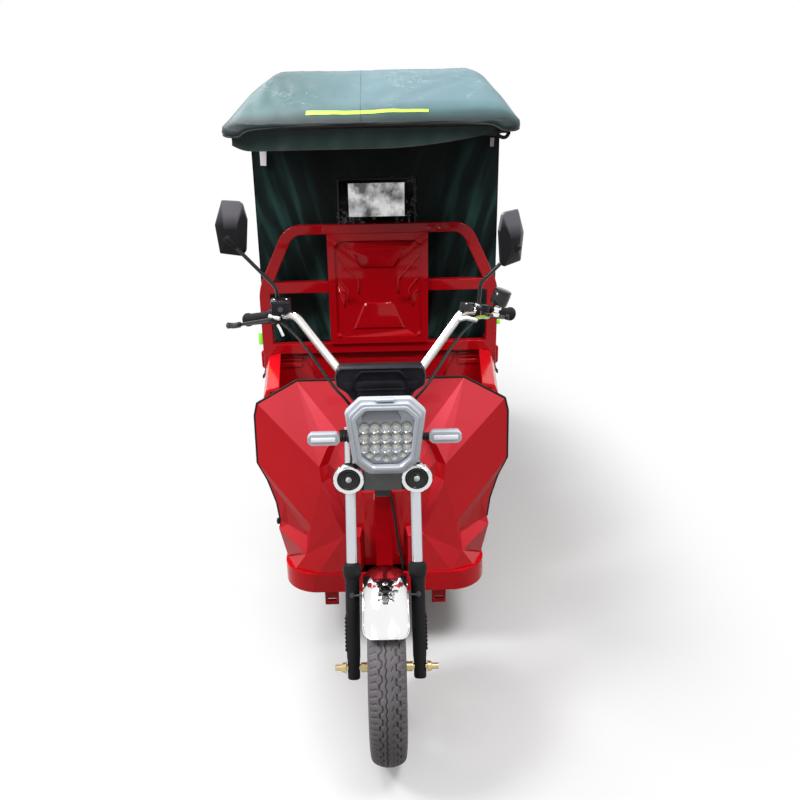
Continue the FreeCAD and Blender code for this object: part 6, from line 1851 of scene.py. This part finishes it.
def make_floor(look):
    """White studio floor and backdrop: lit and shadowed round the object, plain white farther out."""
    mat, tree, shader = start_material("studio_floor")
    coords = object_coords(tree)
    grain = clouds(tree, 60.0, 3.0, coords=coords)
    shade = ramp(tree, grain, (0.3, grey(look.floor_level * 0.99)), (0.7, grey(look.floor_level)))
    set_inputs(shader, Roughness=0.9, Specular_IOR_Level=0.0)
    white = add_node(tree, "Emission")
    set_inputs(white, Strength=1.0)
    offset = add_node(tree, "VectorMath", operation="SUBTRACT")
    offset.inputs[1].default_value = (0.35, 1.05, 0.0)
    tree.links.new(coords, offset.inputs[0])
    squash = add_node(tree, "VectorMath", operation="MULTIPLY")
    squash.inputs[1].default_value = (1.2, 0.42, 1.0)
    tree.links.new(offset.outputs["Vector"], squash.inputs[0])
    reach = add_node(tree, "VectorMath", operation="LENGTH")
    tree.links.new(squash.outputs["Vector"], reach.inputs[0])
    fade = add_node(tree, "MapRange", interpolation_type="SMOOTHSTEP")
    set_inputs(fade, From_Min=look.floor_near, From_Max=look.floor_far, To_Min=0.0, To_Max=1.0)
    link(tree, reach.outputs["Value"], fade, "Value")
    seen = seen_rays(tree)
    link(tree, blend_colour(tree, seen, grey(look.floor_bounce), shade), shader, "Base Color")
    share = calc(tree, "MULTIPLY", seen, fade.outputs["Result"])
    mix_shaders(tree, share, shader.outputs["BSDF"], white.outputs["Emission"], "Material Output")
    rows = [(-9.0, 0.0), (SWEEP_START, 0.0)]
    for k in range(1, 13):
        a = math.pi / 2 * k / 12
        rows.append((SWEEP_START + SWEEP * math.sin(a), SWEEP - SWEEP * math.cos(a)))
    rows.append((SWEEP_START + SWEEP, WALL_SIZE))
    verts, faces = grid_mesh([[(x, y, z - 0.0005) for x in (-WALL_SIZE, WALL_SIZE)] for y, z in rows])
    mesh = bpy.data.meshes.new("floor")
    mesh.from_pydata(verts, [], faces)
    finish_mesh(add_object("floor", mesh), mat, 60)


def area_light(name, place, target, size, power):
    data = bpy.data.lights.new(name, "AREA")
    data.shape = "RECTANGLE"
    data.size, data.size_y = size
    data.energy = power
    lamp = add_object(name, data)
    lamp.location = place
    lamp.rotation_euler = (Vector(target) - Vector(place)).to_track_quat("-Z", "Y").to_euler()


RIGHT_SHARE = 1.2
LEFT_SHARE = 0.85


def make_lights(look):
    """Soft sky that brightens upward, seen as plain white, and three panels."""
    world = bpy.data.worlds.new("studio")
    bpy.context.scene.world = world
    world.use_nodes = True
    tree = world.node_tree
    sky = tree.nodes["Background"]
    set_inputs(sky, Color=(1, 1, 1, 1))
    climb = add_node(tree, "MapRange")
    set_inputs(climb, From_Min=-0.1, From_Max=0.9, To_Min=look.sky_low, To_Max=look.sky_strength)
    link(tree, split(tree, add_node(tree, "TexCoord").outputs["Generated"])["Z"], climb, "Value")
    link(tree, climb.outputs["Result"], sky, "Strength")
    plain = add_node(tree, "Background")
    set_inputs(plain, Color=(1, 1, 1, 1), Strength=1.0)
    mix_shaders(tree, seen_rays(tree), sky.outputs["Background"], plain.outputs["Background"], "World Output")
    area_light("key_panel", (-2.0, 2.9, 4.6), (0.1, 0.9, 0.6), (2.4, 2.4), look.key_power)
    area_light("fill_panel", (1.5, -0.85, 4.6), (0, 0.4, 0.7), (1.8, 1.2), look.fill_power * RIGHT_SHARE)
    area_light("front_panel", (-2.5, -0.5, 3.3), (0, 0.4, 0.7), (1.0, 0.8), look.fill_power * LEFT_SHARE)
    bpy.context.scene.view_settings.view_transform = "Standard"


# Settings, buttons and panel


class RICKSHAW_PG_look(bpy.types.PropertyGroup):
    paint_colour: bpy.props.FloatVectorProperty(
        name="Paint colour", description="Colour of the sheet metal", subtype="COLOR",
        default=(0.5, 0.003, 0.008), min=0.0, max=1.0,
    )
    canvas_colour: bpy.props.FloatVectorProperty(
        name="Curtain colour", description="Colour of the hanging cloths", subtype="COLOR",
        default=(0.008, 0.022, 0.02), min=0.0, max=1.0,
    )
    # Painted shade: brightness of the darker red copy used under the canopy.
    canopy_shade_share: bpy.props.FloatProperty(
        name="Inner paint share",
        description="Brightness of the panels under the canopy next to the outer paint", default=0.66,
        min=0.0, max=1.0,
    )
    # Painted reflection on the shield's up-facing facets: the heights where it starts and is full, and its
    # colour.
    sheen_foot: bpy.props.FloatProperty(
        name="Tint foot", description="Height on the shield where the pale tint starts", unit="LENGTH",
        default=0.30,
    )
    sheen_head: bpy.props.FloatProperty(
        name="Tint head", description="Height on the shield where the pale tint is full", unit="LENGTH",
        default=0.80,
    )
    shield_sheen_colour: bpy.props.FloatVectorProperty(
        name="Shield tint", description="Colour of the shield facets that look up", subtype="COLOR",
        default=(0.76, 0.09, 0.12), min=0.0, max=1.0,
    )
    roof_colour: bpy.props.FloatVectorProperty(
        name="Roof colour", description="Colour of the roof cloth", subtype="COLOR",
        default=(0.046, 0.100, 0.106), min=0.0, max=1.0,
    )
    # Colour of the pale roof film: painted sky sheen with some dust.
    dust_and_sheen_colour: bpy.props.FloatVectorProperty(
        name="Dust colour", description="Colour of the dusty middle of the roof", subtype="COLOR",
        default=(0.114, 0.186, 0.212), min=0.0, max=1.0,
    )
    flap_area: bpy.props.FloatProperty(
        name="Flap area", description="Area of the front flap with its curved lower edge", default=0.0655,
    )
    curtain_drop: bpy.props.FloatProperty(
        name="Curtain drop", description="How far the front curtain hangs over the rail", unit="LENGTH",
        default=0.02,
    )
    tread_pitches: bpy.props.IntProperty(
        name="Tread pitches", description="Repeats of the tread round a tyre", default=44, min=20, max=80,
    )
    cable_length: bpy.props.FloatProperty(
        name="Cable length", description="Length of a control cable from bar to lamp", unit="LENGTH",
        default=0.45,
    )
    neck_length: bpy.props.FloatProperty(
        name="Neck cable length", description="Length of the cable from the headstock to the floor pan",
        unit="LENGTH", default=0.31,
    )
    roof_cut: bpy.props.FloatVectorProperty(
        name="Roof cut", description="Width and length of the roof cloth before it is stretched", size=2,
        unit="LENGTH", default=(1.22, 1.9),
    )
    roof_share: bpy.props.FloatProperty(
        name="Roof share", description="Share of that rectangle left once the corners are cut", default=0.97,
        min=0.3, max=1.0,
    )
    eye: bpy.props.FloatVectorProperty(
        name="Eye", description="Place of the camera", subtype="TRANSLATION", unit="LENGTH",
        default=(0.0, -1.777, 1.705),
    )
    pitch: bpy.props.FloatProperty(
        name="Pitch", description="How far the camera looks down", subtype="ANGLE",
        default=math.radians(20.87),
    )
    roll: bpy.props.FloatProperty(
        name="Roll", description="Tilt of the camera about its line of sight", subtype="ANGLE",
        default=math.radians(1.3),
    )
    lens: bpy.props.FloatProperty(
        name="Lens", description="Focal length in millimetres on a 36 mm sensor", default=36.0,
    )
    shift_x: bpy.props.FloatProperty(
        name="Shift across", description="Sideways shift of the lens", default=0.0238,
    )
    shift_y: bpy.props.FloatProperty(name="Shift up", description="Upward shift of the lens", default=0.0)
    floor_level: bpy.props.FloatProperty(
        name="Floor level", description="Brightness of the floor", default=0.56,
    )
    floor_bounce: bpy.props.FloatProperty(
        name="Floor bounce", description="How much light the floor throws back on the object", default=0.10,
    )
    floor_near: bpy.props.FloatProperty(
        name="Floor near", description="Where the floor starts to turn plain white", unit="LENGTH",
        default=0.35,
    )
    floor_far: bpy.props.FloatProperty(
        name="Floor far", description="Where the floor is plain white", unit="LENGTH", default=1.3,
    )
    sky_strength: bpy.props.FloatProperty(name="Sky", description="Soft light from overhead", default=1.1)
    sky_low: bpy.props.FloatProperty(name="Sky low", description="Soft light from the horizon", default=0.12)
    key_power: bpy.props.FloatProperty(name="Key light", description="Watts of the main panel", default=190.0)
    fill_power: bpy.props.FloatProperty(
        name="Fill light", description="Watts of each front panel", default=118.0,
    )


class PieceOperator:
    bl_options = {"REGISTER", "UNDO"}
    builders = ()

    def execute(self, context):
        for build in self.builders:
            build(context.scene.rickshaw_look)
        return {"FINISHED"}


class RICKSHAW_OT_stage(PieceOperator, bpy.types.Operator):
    """Add the camera, floor and lights"""

    bl_idname = "rickshaw.stage"
    bl_label = "Set the stage"
    builders = (make_camera, make_materials, make_floor, make_lights)


class RICKSHAW_OT_cables(PieceOperator, bpy.types.Operator):
    """Add the control cables"""

    bl_idname = "rickshaw.cables"
    bl_label = "Add the cables"
    builders = (make_cables,)


class RICKSHAW_OT_wheels(PieceOperator, bpy.types.Operator):
    """Add the treaded tyres and dress the wheels"""

    bl_idname = "rickshaw.wheels"
    bl_label = "Add the wheels"
    builders = (make_tyres,)


class RICKSHAW_OT_fork(PieceOperator, bpy.types.Operator):
    """Add the fork legs and the mudguard"""

    bl_idname = "rickshaw.fork"
    bl_label = "Add the fork"
    builders = (make_fork, make_mudguard)


class RICKSHAW_OT_front(PieceOperator, bpy.types.Operator):
    """Add the lamp, horns, signals and dash"""

    bl_idname = "rickshaw.front"
    bl_label = "Add the lamp and dash"
    builders = (make_lamp, make_horns, make_signals, make_dash)


class RICKSHAW_OT_bars(PieceOperator, bpy.types.Operator):
    """Add the handlebar, its controls and the mirrors"""

    bl_idname = "rickshaw.bars"
    bl_label = "Add the handlebar"
    builders = (make_bars, make_mirrors)


class RICKSHAW_OT_body(PieceOperator, bpy.types.Operator):
    """Dress the red sheet metal"""

    bl_idname = "rickshaw.body"
    bl_label = "Dress the body"
    builders = (make_body,)


class RICKSHAW_OT_cloth(PieceOperator, bpy.types.Operator):
    """Add the roof cloth, the curtains and the cushions"""

    bl_idname = "rickshaw.cloth"
    bl_label = "Add the soft parts"
    builders = (make_canopy, make_curtains, make_cushions)


class RICKSHAW_PT_panel(bpy.types.Panel):
    bl_label = "Canopy rickshaw"
    bl_idname = "RICKSHAW_PT_panel"
    bl_space_type = "VIEW_3D"
    bl_region_type = "UI"
    bl_category = "Rickshaw"

    def draw(self, context):
        look = context.scene.rickshaw_look
        for name in ("paint_colour", "canvas_colour", "roof_colour"):
            self.layout.prop(look, name)
        for step in STEPS:
            self.layout.operator(step.bl_idname)


STEPS = (
    RICKSHAW_OT_stage,
    RICKSHAW_OT_cables,
    RICKSHAW_OT_wheels,
    RICKSHAW_OT_fork,
    RICKSHAW_OT_front,
    RICKSHAW_OT_bars,
    RICKSHAW_OT_body,
    RICKSHAW_OT_cloth,
)
CLASSES = (RICKSHAW_PG_look,) + STEPS + (RICKSHAW_PT_panel,)


def register():
    for cls in CLASSES:
        bpy.utils.register_class(cls)
    bpy.types.Scene.rickshaw_look = bpy.props.PointerProperty(type=RICKSHAW_PG_look)


def unregister():
    del bpy.types.Scene.rickshaw_look
    for cls in reversed(CLASSES):
        bpy.utils.unregister_class(cls)


def main():
    register()
    bpy.ops.rickshaw.stage()
    bpy.ops.rickshaw.cables()
    bpy.ops.rickshaw.wheels()
    bpy.ops.rickshaw.fork()
    bpy.ops.rickshaw.front()
    bpy.ops.rickshaw.bars()
    bpy.ops.rickshaw.body()
    bpy.ops.rickshaw.cloth()


if __name__ == "__main__":
    main()
